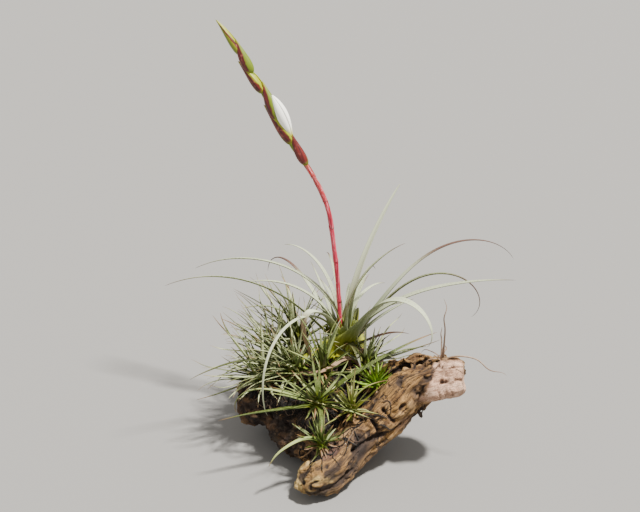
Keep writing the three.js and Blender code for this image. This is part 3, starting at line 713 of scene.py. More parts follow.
grey = net.blend(net.step(blotch, 0.35, 0.65), rgb(0.095, 0.055, 0.03), rgb(0.26, 0.165, 0.09))
tint = net.blend(net.step(wide_blotch, 0.48, 0.62, 0.0, 0.3), bark["Color"], grey)
ZONES = (("pale", 1.0, broken["Color"]), ("cream", 0.7, lichen), ("rot", 0.86, decay),
         ("flake", 0.8, rgb(0.09, 0.04, 0.034)))
for zone, share, color in ZONES:
    tint = net.blend(net.sums("MULTIPLY", net.attribute(zone), share), tint, color)
tint = net.blend(net.step(grit, 0.44, 0.28, 0.0, 0.75), tint, net.blend(0.7, tint, rgb(0.02, 0.01, 0.005)))
# raised places are worn pale, and sunk places, splits and knot rings are painted darker with dirt and painted
# shade, less so on the broken end
sunk = net.attribute("hollow")
worn = net.blend(0.6, tint, rgb(0.44, 0.28, 0.12), "SCREEN")
tint = net.blend(net.step(sunk, 0.42, 0.1, 0.0, 0.45), tint, worn)
less = net.step(net.attribute("pale"), 0.0, 1.0, 1.0, 0.6)
# dirt and painted shade in the sunk places
dirt_and_painted_shade = net.sums("MULTIPLY", net.step(sunk, 0.6, 0.95, 0.0, 0.94), less)
tint = net.blend(dirt_and_painted_shade, tint, rgb(0.02, 0.01, 0.006))
net.finish(tint, net.step(blotch, 0.3, 0.7, 0.78, 0.95), bark["Height"], 2.0)
piece("driftwood_grain", wood_mesh, wood_paint, "wood", "driftwood")

# %% [markdown]
# ## The plants
# Every rosette is a list of leaves. A leaf is a line that leaves the plant's heart in one direction,
# at a rise that bends down along its length, with a width that narrows from a sheath to a point.
# Where a leaf would run into another plant or the wood, it is turned a little until it is clear.

# %% Plants and their own leaves
STEPS = 24
LEAF_GAP = 0.35
SCAPE_R = 1.15
GOLDEN = 137.5
# name, place, core radius and height, mound radii and how far forward, own leaves, rule for the rest
# a leaf: direction, rise, length, bend, how late it bends, width, turn
# the rest: how many, least and most rise, least and most length, width, bend
PLANTS = [
    ("mother_rosette", (8, 36, 54), (10.4, 26.6), (25, 20, 12, 2), [
        (50, 109, 127, 72, 0.5, 5), (14, 104, 96, 88, 1.1, 4.6), (0, 60, 162, 122, 3, 6.4),
        (-12, 60, 149, 200, 3, 6.2), (-25, 76, 151, 66, 0.6, 6.2), (-45, 62, 128, 200, 3, 8.4),
        (140, 90, 98, 112, 2, 4.6), (128, 44, 117, 133, 2.9, 4), (200, 54, 157, 70, 2, 4.6),
        (180, 84, 98, 100, 1.1, 4.4), (165, 118, 150, 150, 0.6, 4.2), (-133, 102, 160, 224, 0.9, 5),
        (-139, 140, 109, 299, 0.9, 3.6), (-32, 40, 58, 40, 3, 3.6), (42, 108, 66, 136, 1.1, 5),
        (120, 104, 56, 96, 0.7, 5), (-75, 62, 44, 110, 1, 7), (85, 62, 66, 110, 1.6, 4.4),
        (100, 58, 92, 96, 2, 4.2), (70, 56, 88, 110, 2, 4.6)], (2, 50, 76, 50, 70, 4.4, 60)),
    ("rosette_back_left", (-26, 46, 50), (5, 14), (16, 14, 10, 2), [
        (185, 100, 57, 118, 0.8, 2.3), (195, 52, 47, 23, 1.5, 2.2), (205, 28, 59, -10, 1.8, 2.2),
        (150, 66, 52, 50, 2, 2.2), (120, 78, 50, 60, 2, 2.2)], (15, 18, 84, 34, 52, 2.1, 40)),
    ("rosette_left", (-43, 33, 46), (5, 13), (15, 14, 10, 0), [
        (170, 61, 43, 43, 3, 2.2), (190, 53, 39, 45, 3, 2.2), (160, 40, 48, 30, 2, 2.1)],
     (15, 12, 82, 30, 46, 2.1, 34)),
    ("rosette_mid_left", (-27, 8, 50), (5, 13), (15, 15, 10, 0), [
        (190, 37, 79, 72, 1, 2.4), (200, 8, 68, -6, 1, 2.3), (170, 43, 42, 4, 1.5, 2.2),
        (215, 22, 52, 30, 1.5, 2.3)], (16, 12, 82, 28, 44, 2.1, 30)),
    ("rosette_far_left", (-50, 13, 41), (5, 13), (14, 14, 9, 0), [
        (165, 50, 58, -26, 2.5, 2.3), (175, 55, 60, 0, 1.3, 2.2), (185, 32, 36, -10, 2.2, 2.1),
        (202, 2, 50, 14, 1, 2.6), (225, 16, 34, 40, 1.5, 2.2)], (13, 10, 82, 26, 42, 2.1, 30)),
    ("rosette_centre", (-8, 3, 53), (5, 13), (16, 15, 10, 0), [
        (-100, 70, 44, 60, 2, 2.4), (150, 72, 46, 30, 2, 2.2), (60, 60, 40, 40, 2, 2.2)],
     (17, 14, 82, 28, 42, 2.2, 40)),
    ("rosette_right", (22, 15, 51), (5, 13), (16, 16, 11, 0), [
        (10, 28, 46, 26, 0.8, 2.4), (20, 62, 28, 32, 1, 2.2), (9.5, 18, 56.5, 1.5, 0.4, 2.3)],
     (13, 14, 80, 22, 38, 2.1, 44)),
    ("rosette_front", (-11, -23, 45), (5, 12), (15, 13, 10, 0), [
        (172, 18, 73, 130, 2.8, 2.6), (196, 4, 70, 6, 1, 3.2), (160, 22, 36, -22, 1, 2.2),
        (178, 26, 36, 6, 1, 2.2), (140, 42, 28, -16, 2, 2.1), (20, 44, 96, 36, 0.7, 2.8),
        (-10, 6, 38, 20, 1, 2.4)], (13, 6, 80, 24, 38, 2.2, 40)),
    ("rosette_arm", (12, -24, 40), (4.4, 10.3), (12, 10, 8, -2), [
        (165, 30, 32, -40, 1.2, 2.2), (140, 56, 26, 40, 1.4, 2.1), (10, 88, 36, 110, 0.7, 2.2),
        (60, 92, 31, 18, 1, 2.1)], (11, 10, 80, 18, 30, 2.1, 30)),
    ("rosette_tip", (-9, -45, 27), (4.5, 10), None, [
        (110, 70, 22, 10, 1.2, 2.4), (160, 34, 24, 12, 2.2, 2.2), (60, 84, 26, 8, 1.4, 2.1),
        (206, 66, 47, 130, 0.7, 3.2)], (11, 8, 80, 14, 25, 2.1, 26)),
    ("seedling_tuft", (29, -5, 49), (5, 8), (15, 14, 10, 0), [], (19, 8, 84, 13, 20, 2.1, 10)),
    ("dry_tuft", (74, -9, 74), (2.7, 4.4), None, [
        (60, 86, 50, 10, 1, 1.7), (110, 74, 26, -20, 1, 1.6), (-14, 31, 48, 98, 1.3, 1.7)],
     (2, 30, 60, 8, 14, 1.6, 60)),
]
STEM = np.array([
    [5, 36, 68], [4, 37, 94], [1, 38, 128], [-1.5, 39.5, 153], [-5, 41.5, 171], [-12.7, 44.5, 188],
    [-21, 47.5, 201], [-30, 50.5, 214], [-37.5, 54, 228], [-46, 59.5, 241], [-53, 63, 253.5],
    [-62, 67, 268], [-70, 70.5, 280], [-77, 73, 290.5]], float)
print(len(PLANTS), "plants with", sum(len(p[4]) for p in PLANTS), "leaves of their own")


# %% The leaf's line and width
def pointing(up, flat):
    """The direction that rises by up and points to flat: cos up cos flat, cos up sin flat, sin up."""
    return np.stack([np.cos(up) * np.cos(flat), np.cos(up) * np.sin(flat), np.sin(up)], -1)


def leaf_lines(way, rise, length, bend, late, turn, start, steps=STEPS):
    """Points along leaves: equal steps whose rise falls by bend times s to the power late, and whose
    direction turns evenly. Each value is a number or one for each leaf."""
    given = (way, rise, length, bend, late, turn)
    way, rise, length, bend, late, turn = (np.atleast_1d(np.asarray(v, float))[:, None] for v in given)
    s = (np.arange(steps) + 0.5) / steps
    up, flat = np.radians(rise - bend * s**late), np.radians(way + turn * s)
    move = pointing(up, flat) * (length / steps)[..., None]
    start = np.atleast_2d(start)[:, None]
    return np.concatenate([start, start + np.cumsum(move, 1)], 1)


def half_width(wide, broad, s):
    """Half the width: it falls as the 0.7 power towards the tip and swells to a sheath at the foot."""
    sheath = 1 + 1.5 * np.exp(-s / 0.1) if broad else 1 + 0.5 * np.exp(-s / 0.12)
    return 0.5 * wide * np.maximum(1 - s, 0) ** 0.7 * sheath


def start_of(plant, way, rise):
    """Where a leaf starts inside the plant's core: higher up if it rises more."""
    name, at, (_, tall) = plant[:3]
    out, low, more, full = (3.5, 2, 6, 90) if name == "mother_rosette" else (0.8, 4, tall - 7, 80)
    up = low + more * min(1, max(0, rise / full))
    angle = math.radians(way)
    return np.array([at[0] + out * math.cos(angle), at[1] + out * math.sin(angle), at[2] + up])


# %% Placing the leaves clear of each other
HUMMOCKS = [((at[0], at[1] - m[3], at[2] - m[2] + 0.5), m[:3]) for _, at, _, m, *_ in PLANTS if m]
HUMMOCKS.append(((-10, 12, 36), (42, 32, 15)))
ground_at = [at for at, _ in HUMMOCKS] + [BELLY[0]]
ground_size = [np.array(r) + 0.6 for _, r in HUMMOCKS] + [BELLY[1]]
for rows in WOOD_LINES:
    t = np.arange(13) / 12
    ground_at += list(curve(rows[:, :3], t))
    ground_size += [np.full(3, r) for r in curve(rows[:, 3:], t).max(1) * 1.12]
ground_at, ground_size = np.array(ground_at, float), np.array(ground_size, float)
# room for the straight pieces of all leaves: their two ends, radius and plant
ROOM = 4000
kept_a, kept_b, kept_r, kept_owner = (np.zeros(shape) for shape in ((ROOM, 3), (ROOM, 3), ROOM, ROOM))
kept = 0


def keep(points, radii, owner):
    """Remembers a line of straight pieces with their radii."""
    global kept
    n = len(points) - 1
    kept_a[kept:kept + n], kept_b[kept:kept + n] = points[:-1], points[1:]
    kept_r[kept:kept + n], kept_owner[kept:kept + n] = radii, owner
    kept += n


def piece_distance(p, q, r, s):
    """The least squared distance between straight pieces: the nearest places on the two lines, held to the
    pieces' ends."""
    d1, d2, w = q - p, s - r, p - r
    dot = lambda a, b: (a * b).sum(-1)
    a, e, f, c, b = dot(d1, d1), dot(d2, d2), dot(d2, w), dot(d1, w), dot(d1, d2)
    base = a * e - b * b
    t = np.where(base > 1e-9, np.clip((b * f - c * e) / np.where(base > 1e-9, base, 1), 0, 1), 0)
    u = (b * t + f) / e
    t = np.where((u < 0) | (u > 1), np.clip((b * np.clip(u, 0, 1) - c) / a, 0, 1), t)
    away = w + d1 * t[..., None] - d2 * np.clip(u, 0, 1)[..., None]
    return dot(away, away)


def is_clear(points, length, wide, broad, free, owner):
    """Whether a leaf keeps off the ground and off every other plant's leaves."""
    i = np.arange(len(points) - 1)
    n = len(i)
    r = np.maximum(0.5, half_width(wide, broad, i / n)) + LEAF_GAP
    low = (i + 0.5) / n * length > free
    q, rq = points[1:][low], r[low] + 0.4
    if (q[:, 2] <= rq + 1.5).any():
        return False
    if ((((q[:, None] - ground_at) / (ground_size + rq[:, None, None])) ** 2).sum(-1) <= 1).any():
        return False
    others = kept_owner[:kept] != owner
    a, b = kept_a[:kept][others], kept_b[:kept][others]
    reach = r[:, None] + kept_r[:kept][others]
    return not (piece_distance(points[:-1, None], points[1:, None], a[None], b[None]) < reach**2).any()


TURNS = ((1, 0), (-1, 0), (0, 1), (0, -1), (0.7, 0.7), (-0.7, 0.7), (0.7, -0.7), (-0.7, -0.7))
NUDGES = [(0, 0)] + [(a * size, b * size) for size in (5, 10, 16, 23) for a, b in TURNS]


def placed(plant, index, way, rise, length, bend, late, wide, turn=0):
    """A leaf as a row of numbers, nudged clear, or made shorter, or left out as None."""
    broad, start, free = index == 0, start_of(plant, way, rise), plant[2][0] + 4
    for shorter in (1, 0.8, 0.62):
        for more_turn, more_rise in NUDGES:
            tried = (way + more_turn, rise + more_rise, length * shorter, bend, late)
            line = leaf_lines(*tried, turn, start)[0, ::3]
            if is_clear(line, length * shorter, wide, broad, free, index):
                s = (np.arange(8) + 0.5) / 8
                keep(line, np.maximum(0.5, half_width(wide, broad, s)), index)
                return [*tried, wide, turn, *start]
    return None


keep(curve(STEM, np.arange(25) / 24)[2:], SCAPE_R + 0.6, -1)
for index, (_, at, (r, tall), *_) in enumerate(PLANTS):
    keep(np.array([[at[0], at[1], at[2] + tall * s] for s in (0, 0.5, 1)]), r * 0.95, index)
LEAVES = [[placed(plant, index, *numbers) for numbers in plant[4]] for index, plant in enumerate(PLANTS)]
for index, plant in enumerate(PLANTS):
    count, low, high, short, long, wide, bend = plant[5]
    draw = random_from(900 + index)
    for i in range(count):
        way = i * GOLDEN + index * 40 + 16 * (next(draw) - 0.5)
        rise = low + (high - low) * (i + 0.5) / count + 8 * (next(draw) - 0.5)
        length = short + (long - short) * next(draw)
        curl = bend * (1.5 * next(draw) - 0.35)
        width = wide * (0.85 + 0.3 * next(draw))
        turn = 36 * (next(draw) - 0.5)
        LEAVES[index].append(placed(plant, index, way, rise, length, curl, 1.3, width, turn))
print("leaves placed", [sum(leaf is not None for leaf in leaves) for leaves in LEAVES])

# %% [markdown]
# ## Blades
# A real blade of these plants is thick, narrow and rolled into a channel, with a wide sheath at its foot
# that clasps the heart of the plant. Flat strips would look like grass, so each blade is a closed tube
# whose section is a thin crescent. Its foot starts at the plant's base and joins the leaf's own line.

# %% Blade surfaces
def blades(leaves, plant, rows, cols, thick, wave, seed, tone=(0.0, 1.0), dry=0.0, roll=1.15, foot_drop=2.5,
           reach_of=1.0, fuller=1.0, taper=0.7, girth=1.0, course=None, hug=2.2):
    """Closed blades: along each leaf line a crescent section, an arc of the leaf's width bent to an opening
    angle, thick in the middle and thin at its edges. The opening goes from clasping the core to rolled.
    The colours run along by the share of the length times reach_of, so a short sheath can stay foot
    coloured. A course of points takes the place of the leaf's own line, and hug is the widest angle of the
    foot's clasp."""
    _, at, (core_r, tall) = plant[:3]
    broad = plant[0] == "mother_rosette"
    leaves = np.array([leaf for leaf in leaves if leaf is not None], float)
    way, rise, length, bend, late, wide, turn = leaves[:, :7].T
    draw = np.random.default_rng(seed)
    many, steps, lead = len(leaves), 96, 5
    first = 0.05 if broad else 0.1
    mid = (np.arange(steps) + 0.5) / steps
    phase = draw.uniform(0, 2 * np.pi, (4, many, 1))
    wander = wave * mid * (np.sin(7 * mid + phase[:2]) + 0.5 * np.sin(15 * mid + phase[2:]))
    up = np.radians(rise[:, None] - bend[:, None] * mid ** late[:, None] + wander[0])
    flat = np.radians(way[:, None] + turn[:, None] * mid + wander[1])
    move = pointing(up, flat) * (length / steps)[:, None, None]
    line = np.concatenate([leaves[:, None, 7:], leaves[:, None, 7:] + np.cumsum(move, 1)], 1)
    if course is not None:
        line = curve(course, np.linspace(0, 1, steps + 1))[None]
    s = np.linspace(first, 0.985, rows - lead)
    i = np.minimum((s * steps).astype(int), steps - 1)
    body = line[:, i] + (line[:, i + 1] - line[:, i]) * (s * steps - i)[:, None]
    lift = np.clip(rise, 0, 90) / 90
    out = girth * core_r * (0.92 - 0.55 * lift)
    foot = np.stack([at[0] + out * np.cos(np.radians(way)), at[1] + out * np.sin(np.radians(way)),
                     at[2] - foot_drop + 0.3 * tall * lift], -1)
    t = (np.arange(lead) / lead)[:, None]
    reach = np.linalg.norm(body[:, 0] - foot, axis=1)[:, None, None]
    aim = unit(body[:, 1] - body[:, 0])[:, None]
    upright = np.array([0, 0, 1.0])
    rooted = ((2 * t**3 - 3 * t**2 + 1) * foot[:, None] + (t**3 - 2 * t**2 + t) * reach * upright
              + (3 * t**2 - 2 * t**3) * body[:, :1] + (t**3 - t**2) * reach * aim)
    path = np.concatenate([rooted, body], 1)
    s = np.concatenate([np.linspace(0, first, lead, endpoint=False), s])
    tangent = unit(np.gradient(path, axis=1))
    angle = np.radians(way[:, None] + turn[:, None] * s)
    level = np.stack([np.sin(angle), -np.cos(angle), np.zeros_like(angle)], -1)
    top = unit(np.cross(level, tangent))
    side = np.cross(tangent, top)
    twist = (draw.uniform(-35, 35, many)[:, None] * s)[..., None] * np.pi / 180
    side, top = rolled(side, top, twist)
    half = half_width(wide[:, None], broad, s[None]) * (1 + (0.9 if broad else 0.45) * np.exp(-s / 0.07))
    half = fuller * half * (1 - s) ** (np.reshape(taper, (-1, 1)) - 0.7)
    clasp = np.clip(half / (out[:, None] + 0.8), 0.5, hug)
    opening = clasp + (roll - clasp) * smooth(0, 0.3, s)
    deep = thick * np.minimum(1, (1 - s) * 3 + 0.2)
    phi = 2 * np.pi * (np.arange(cols) + 0.5) / cols
    u, v = np.cos(phi), np.sin(phi)
    theta = u * opening[..., None]
    radius = (half / opening)[..., None]
    keel = np.where(v < 0, 1.25, 0.6) * v * (0.25 + 0.75 * np.sqrt(np.maximum(1 - u**2, 0)))
    radial = radius - 0.5 * deep[:, None] * keel
    rings = (path[:, :, None] + side[:, :, None] * (radial * np.sin(theta))[..., None]
             + top[:, :, None] * (radius - radial * np.cos(theta))[..., None])
    ends = np.stack([foot, line[:, -1]], 1)
    verts, quads, tris = tubes(rings, ends)
    tone_of = draw.uniform(*tone, many) if len(tone) == 2 else np.array(tone)
    dry_of = np.broadcast_to(np.asarray(dry, float), many)
    shift = 300 * tone_of

    def value(a, ends):
        return spread(np.broadcast_to(a, (many, rows, cols)), ends)

    return verts, quads, tris, {
        "along": value(reach_of * s[None, :, None], np.tile([0.0, reach_of], many)),
        "tone": value(tone_of[:, None, None], np.repeat(tone_of, 2)),
        "dry": value(dry_of[:, None, None], np.repeat(dry_of, 2)),
        # the upper face of the blade, which the paint makes whiter as a painted highlight
        "face": value(smooth(-0.35, 0.35, v), np.full(2 * many, 0.5)),
        "across": value(u * half[..., None], np.zeros(2 * many)),
        "length": value((s * length[:, None] + shift[:, None])[..., None],
                        np.stack([shift, length + shift], 1))}


def leaning(way, up, towards, tilt):
    """A direction and rise after the whole plant leans: the part of the direction that points towards the
    lean and the part that points up turn into each other by the tilt."""
    way, up, towards, tilt = np.radians((way, up, towards, tilt))
    ahead, aside, high = np.cos(up) * np.cos(way - towards), np.cos(up) * np.sin(way - towards), np.sin(up)
    ahead, high = ahead * np.cos(tilt) + high * np.sin(tilt), high * np.cos(tilt) - ahead * np.sin(tilt)
    return np.degrees(towards + np.arctan2(aside, ahead)), np.degrees(np.arcsin(high))


def fill_leaves(plant, count, rise, length, bend, late, wide, seed, scatter=0.0, lean=(0, 0), outwards=0.0):
    """More leaves of a plant: directions a golden angle apart, and the other values drawn between bounds.
    Scatter shifts their starts, as where several small plants crowd together, and outwards moves them from
    the heart. The lean is the direction in which the whole plant leans, and by how much."""
    draw = np.random.default_rng(seed)
    spin = draw.uniform(0, 360)
    rows = []
    for i in range(count):
        way = spin + i * GOLDEN + draw.uniform(-9, 9)
        up = rise[0] + (rise[1] - rise[0]) * (i + 0.5) / count + draw.uniform(-6, 6)
        way, up = leaning(way, up, *lean)
        up = max(up, rise[0] - 4)
        start = start_of(plant, way, up) + [*draw.normal(0, scatter, 2), 0]
        start += outwards * pointing(0, np.radians(way))
        rows.append([way, up, draw.uniform(*length), draw.uniform(*bend), late,
                     wide * draw.uniform(0.8, 1.15), draw.uniform(-25, 25), *start])
    return rows


def plant_mesh(name, parts):
    """One mesh of a plant's blades with its values and a UV map in mm."""
    return surface(name, parts, ("along", "tone", "dry", "face"),
                   lambda values: (values["across"], values["length"]))


# %% [markdown]
# ## The leaves' finish
# Fine silvery scales cover the blades and lie in rows along the veins. They are thin at the green foot,
# and the oldest leaves dry from the tip to a purple brown. One node group draws this on the blade's own
# map, and each plant's material gives it the plant's colours.

# %% Scurf and veins
net, ins, ends = new_group(
    "Scurfy blade",
    {"Foot": "Color", "Blade": "Color", "Tip": "Color", "Dry": "Color", "Scurf": "Color", "Amount": "Float",
     "Along": "Float", "Tone": "Float", "Painted_top_light": "Float", "Dryness": "Float", "Place": "Vector"},
    {"Color": "Color", "Roughness": "Float", "Height": "Float"})
veins = net.streaks(ins["Place"], 2.6, 0.05, detail=2.0)
scales = net.streaks(ins["Place"], 1.6, 0.7, detail=4.0, harsh=0.6)
along, tone = ins["Along"], ins["Tone"]
fresh = net.blend(net.step(along, 0.02, 0.24), ins["Foot"], ins["Blade"])
fresh = net.blend(net.step(along, 0.66, 1.0, 0.0, 0.75), fresh, ins["Tip"])
worth = net.sums("MULTIPLY_ADD", tone, 0.8, 0.58)
turned = net.sums("MULTIPLY_ADD", tone, 0.05, 0.472)
fresh = net.put("HueSaturation", {"Hue": turned, "Value": worth, "Color": fresh})
deep = net.blend(0.6, fresh, rgb(0.012, 0.02, 0.004))
fresh = net.blend(net.step(veins, 0.62, 0.36, 0.0, 0.55), fresh, deep)
# the scurf is thicker on the paler leaves and thin at the foot, and the upper face gets more of it as a
# painted highlight
coat = net.sums("ADD", net.sums("MULTIPLY", scales, 0.6), net.sums("MULTIPLY", veins, 0.4))
coat = net.sums("MULTIPLY_ADD", ins["Amount"], 0.5, coat)
# more scurf on the upper face: a painted highlight
coat = net.sums("MULTIPLY_ADD", ins["Painted_top_light"], 0.16, net.sums("SUBTRACT", coat, 0.24))
coat = net.sums("MULTIPLY_ADD", tone, 0.36, coat)
coat = net.sums("MULTIPLY", net.step(coat, 0.54, 0.95), net.step(along, 0.05, 0.42, 0.08, 1.0))
fresh = net.blend(coat, fresh, ins["Scurf"])
# the dry part starts at the tip, behind a ragged front
front = net.sums("MULTIPLY_ADD", ins["Dryness"], -1.25, 1.04)
ragged = net.sums("MULTIPLY_ADD", scales, 0.22, net.sums("SUBTRACT", along, 0.11))
dried = net.step(net.sums("SUBTRACT", ragged, front), -0.08, 0.12)
husk = net.blend(0.55, ins["Dry"], rgb(0.02, 0.01, 0.006))
husk = net.blend(net.step(veins, 0.35, 0.65), husk, ins["Dry"])
net.feed(ends, {
    "Color": net.blend(dried, fresh, husk), "Roughness": net.sums("MULTIPLY_ADD", coat, 0.28, 0.5),
    "Height": net.sums("MULTIPLY_ADD", veins, 0.7, net.sums("MULTIPLY", scales, 0.3))})
leaf_group = net.tree

# %% Leaf paints
TAN, PURPLE_BROWN = (0.22, 0.12, 0.045), (0.12, 0.06, 0.04)
SILVER = (0.42, 0.45, 0.31)
# by slot, and one more for the old curled leaves: the material, its colours at the foot, on the blade, at the
# tip, when dry and of the scurf, and how much scurf
LEAF_PAINTS = {
    "leaf_silver_broad": ("silvery broad leaf", (0.29, 0.3, 0.003), (0.09, 0.12, 0.01), (0.16, 0.16, 0.05),
                          PURPLE_BROWN, SILVER, 0.44),
    "leaf_silver_fine": ("silvery fine leaf", (0.14, 0.16, 0.002), (0.054, 0.084, 0.004), (0.2, 0.19, 0.06),
                         TAN, (0.43, 0.46, 0.25), 0.26),
    "leaf_green": ("green leaf", (0.14, 0.17, 0.002), (0.045, 0.075, 0.003), (0.14, 0.15, 0.03),
                   TAN, (0.3, 0.34, 0.12), 0.12),
    "leaf_olive": ("olive leaf", (0.16, 0.18, 0.003), (0.11, 0.13, 0.004), (0.26, 0.16, 0.025),
                   TAN, (0.36, 0.35, 0.14), 0.08),
    "leaf_bright": ("bright green leaf", (0.12, 0.2, 0.002), (0.13, 0.25, 0.002), (0.24, 0.34, 0.012),
                    TAN, (0.36, 0.44, 0.1), 0.02),
    "leaf_dry": ("dried leaf", (0.12, 0.07, 0.036), (0.22, 0.13, 0.07), (0.2, 0.115, 0.08),
                 (0.22, 0.13, 0.08), (0.38, 0.3, 0.24), 0.34),
    "leaf_curled": ("old curled leaf", (0.27, 0.28, 0.01), (0.12, 0.13, 0.03), (0.16, 0.13, 0.05),
                    (0.34, 0.22, 0.125), SILVER, 0.44)}


def leaf_paint(name, *looks):
    """A leaf material with its own five colours and amount of scurf."""
    *colors, amount = looks
    foot, blade, tip, dry, scurf = (rgb(*color) for color in colors)
    made, net = material(name, blade)
    out = net.use(leaf_group, {
        # the upper face of each blade feeds the painted highlight
        "Foot": foot, "Blade": blade, "Tip": tip, "Dry": dry, "Scurf": scurf, "Amount": amount,
        "Along": net.attribute("along"), "Tone": net.attribute("tone"), "Painted_top_light": net.attribute("face"),
        "Dryness": net.attribute("dry"), "Place": net.on_piece()})
    net.finish(out["Color"], out["Roughness"], out["Height"], 0.12)
    return made


PAINT = {slot: leaf_paint(*looks) for slot, looks in LEAF_PAINTS.items()}
print("leaf materials", len(PAINT))

# %% [markdown]
# ## The large rosette
# Its broad sheaths overlap into a bulb. Some leaves are old, so each has its own share of dry tip,
# counted in the order of the plant's own list.

# %% Large rosette
mother = PLANTS[0]
MOTHER_DRY = [0.02, 0.14, 0.42, 0.26, 0.1, 0.06, 0.06, 0.42, 0.12, 0.05, 0.1,
              0.06, 0.4, 0.6, 0.1, 0.12, 0.1, 0.1, 0.2, 0.1, 0.1, 0.1]
MOTHER_TONE = [0.9, 0.3, 0.9, 0.1, 0.6, 0.7, 0.6, 0.5, 0.45, 0.5, 0.6,
               0.75, 0.9, 0.3, 0.6, 0.6, -0.2, 0.4, 0.5, 0.3, 0.6, 0.6]
# how much wider some blades are, and how soon they narrow
FULLER = {0: 1.55, 2: 1.25, 3: 1.4, 4: 1.4, 5: 2.3}
TAPER = {0: 0.4, 2: 1.4, 3: 1.2, 4: 1.0, 5: 1.2}
LOW_ARCH, LOOPED = 11, 12
own = [leaf and [*leaf[:5], leaf[5] * FULLER.get(i, 1.25), *leaf[6:]] for i, leaf in enumerate(LEAVES[0])]
# the looped leaf is old and comes with the next piece, and the leaf that arches low has its own line
own[LOOPED] = None
there = [i for i, leaf in enumerate(own) if leaf is not None]
dry_list, tone_list = [MOTHER_DRY[i] for i in there], [MOTHER_TONE[i] for i in there]
taper_list = [TAPER.get(i, 0.85) for i in there]
own[LOW_ARCH] = [-156, 79.5, 154.7, 220.7, 1.08, 4.4, 61.4, *start_of(mother, -156, 79.5)]
# the places that the looped leaf goes through
LOOP = np.array([
    [5.2, 33, 62.5], [0, 29, 77.7], [-5, 25, 90.1], [-11.4, 21, 97], [-17.7, 17, 99], [-20.8, 14, 94.3],
    [-20.8, 12, 85.7], [-18.4, 10, 76.2], [-14.9, 8, 66.7], [-10.7, 6, 58.8]], float)
looped = [-135, 80, 85, 0, 1, 7.5, 0, *LOOP[0]]
sheaths = fill_leaves(mother, 14, (62, 86), (18, 27), (-10, 6), 2.0, 13, 11, outwards=3.0)
inner = fill_leaves(mother, 6, (58, 86), (34, 62), (20, 80), 1.6, 3.8, 12)
old = fill_leaves(mother, 10, (-10, 30), (20, 36), (40, 90), 1.0, 5.0, 13)
mesh = plant_mesh("mother_leaves", [
    blades(own, mother, 54, 14, 1.2, 1.2, 101, tone_list, dry_list, 0.65, taper=taper_list, hug=1.15),
    blades(sheaths, mother, 24, 14, 0.9, 2, 102, (0.3, 0.8), 0.0, 1.7, reach_of=0.2, taper=0.34, girth=1.45),
    blades(inner, mother, 34, 12, 0.9, 4, 103, (0.3, 1.0), 0.15, 1.1),
    blades(old, mother, 18, 10, 0.7, 14, 104, (0.1, 0.6), 1.0, 0.9, 6)])
piece("mother_leaves", mesh, PAINT["leaf_silver_broad"], "leaf_silver_broad", "mother_rosette")

# %% Old curled leaves
RIBBON = np.array([
    [17.2, 18.5, 59], [7.8, 13.7, 63], [-3, 0.6, 64],
    [-10, -2.9, 63], [-20.5, -1.2, 61], [-31, -0.4, 58]], float)
ribbon = [206, 14, 60, 0, 1, 4.8, 0, *RIBBON[0]]
mesh = plant_mesh("old_curled_leaves", [
    blades([looped], mother, 60, 14, 1.1, 0, 105, (0.9, 1.0), 0.44, 0.7, taper=0.35, course=LOOP),
    blades([ribbon], PLANTS[6], 50, 12, 0.7, 0, 820, (0.5, 0.6), 1.3, 0.6, taper=0.35, course=RIBBON)])
piece("old_curled_leaves", mesh, PAINT["leaf_curled"], "leaf_dry")

# %% [markdown]
# ## The small rosettes
# Each has its own leaves, which are also in the solid model, and many finer ones between them.
# Dead leaves hang round each foot and hide where the plant meets the roots.

# %% Leaves that stay in sight
def in_sight(p):
    """Where points fall in the photograph's frame, with how far they are from the camera: the offsets across
    and up are divided by the distance along the view, which looks down."""
    away = np.asarray(p, float) - np.array(camera.location) / MM
    low = math.radians(LOOK_DOWN)
    far_off = away[..., 1] * math.cos(low) - away[..., 2] * math.sin(low)
    up = away[..., 1] * math.sin(low) + away[..., 2] * math.cos(low)
    return np.stack([away[..., 0], up], -1) * FOCAL_POINTS / far_off[..., None], far_off


def line_of(row, steps=STEPS):
    return leaf_lines(*row[:5], row[6], row[7:], steps)[0]


# a course that should stay in sight, and how many points of the frame a leaf in front must keep from it
SHOWN = [(curve(LOOP, np.linspace(0.25, 1, 60)), 5.5), (curve(RIBBON, np.linspace(0, 1, 50)), 4.5),
         (curve([[22, -5, 56], [29, -5, 60], [36, -5, 56]], np.linspace(0, 1, 20)), 9.0),
         (curve([[3, 28, 66], [11, 28, 72], [21, 27, 82]], np.linspace(0, 1, 20)), 8.0)]


def not_hiding(rows):
    """The leaves that don't pass in front of a leaf that should show."""
    kept_rows = []
    for row in rows:
        seen, far_off = in_sight(line_of(row))
        hides = False
        for line, clear in SHOWN:
            shown, shown_far = in_sight(line)
            near = np.linalg.norm(seen[:, None] - shown[None], axis=-1) < clear
            hides |= (near & (far_off[:, None] < shown_far[None])).any()
        if not hides:
            kept_rows.append(row)
    return kept_rows


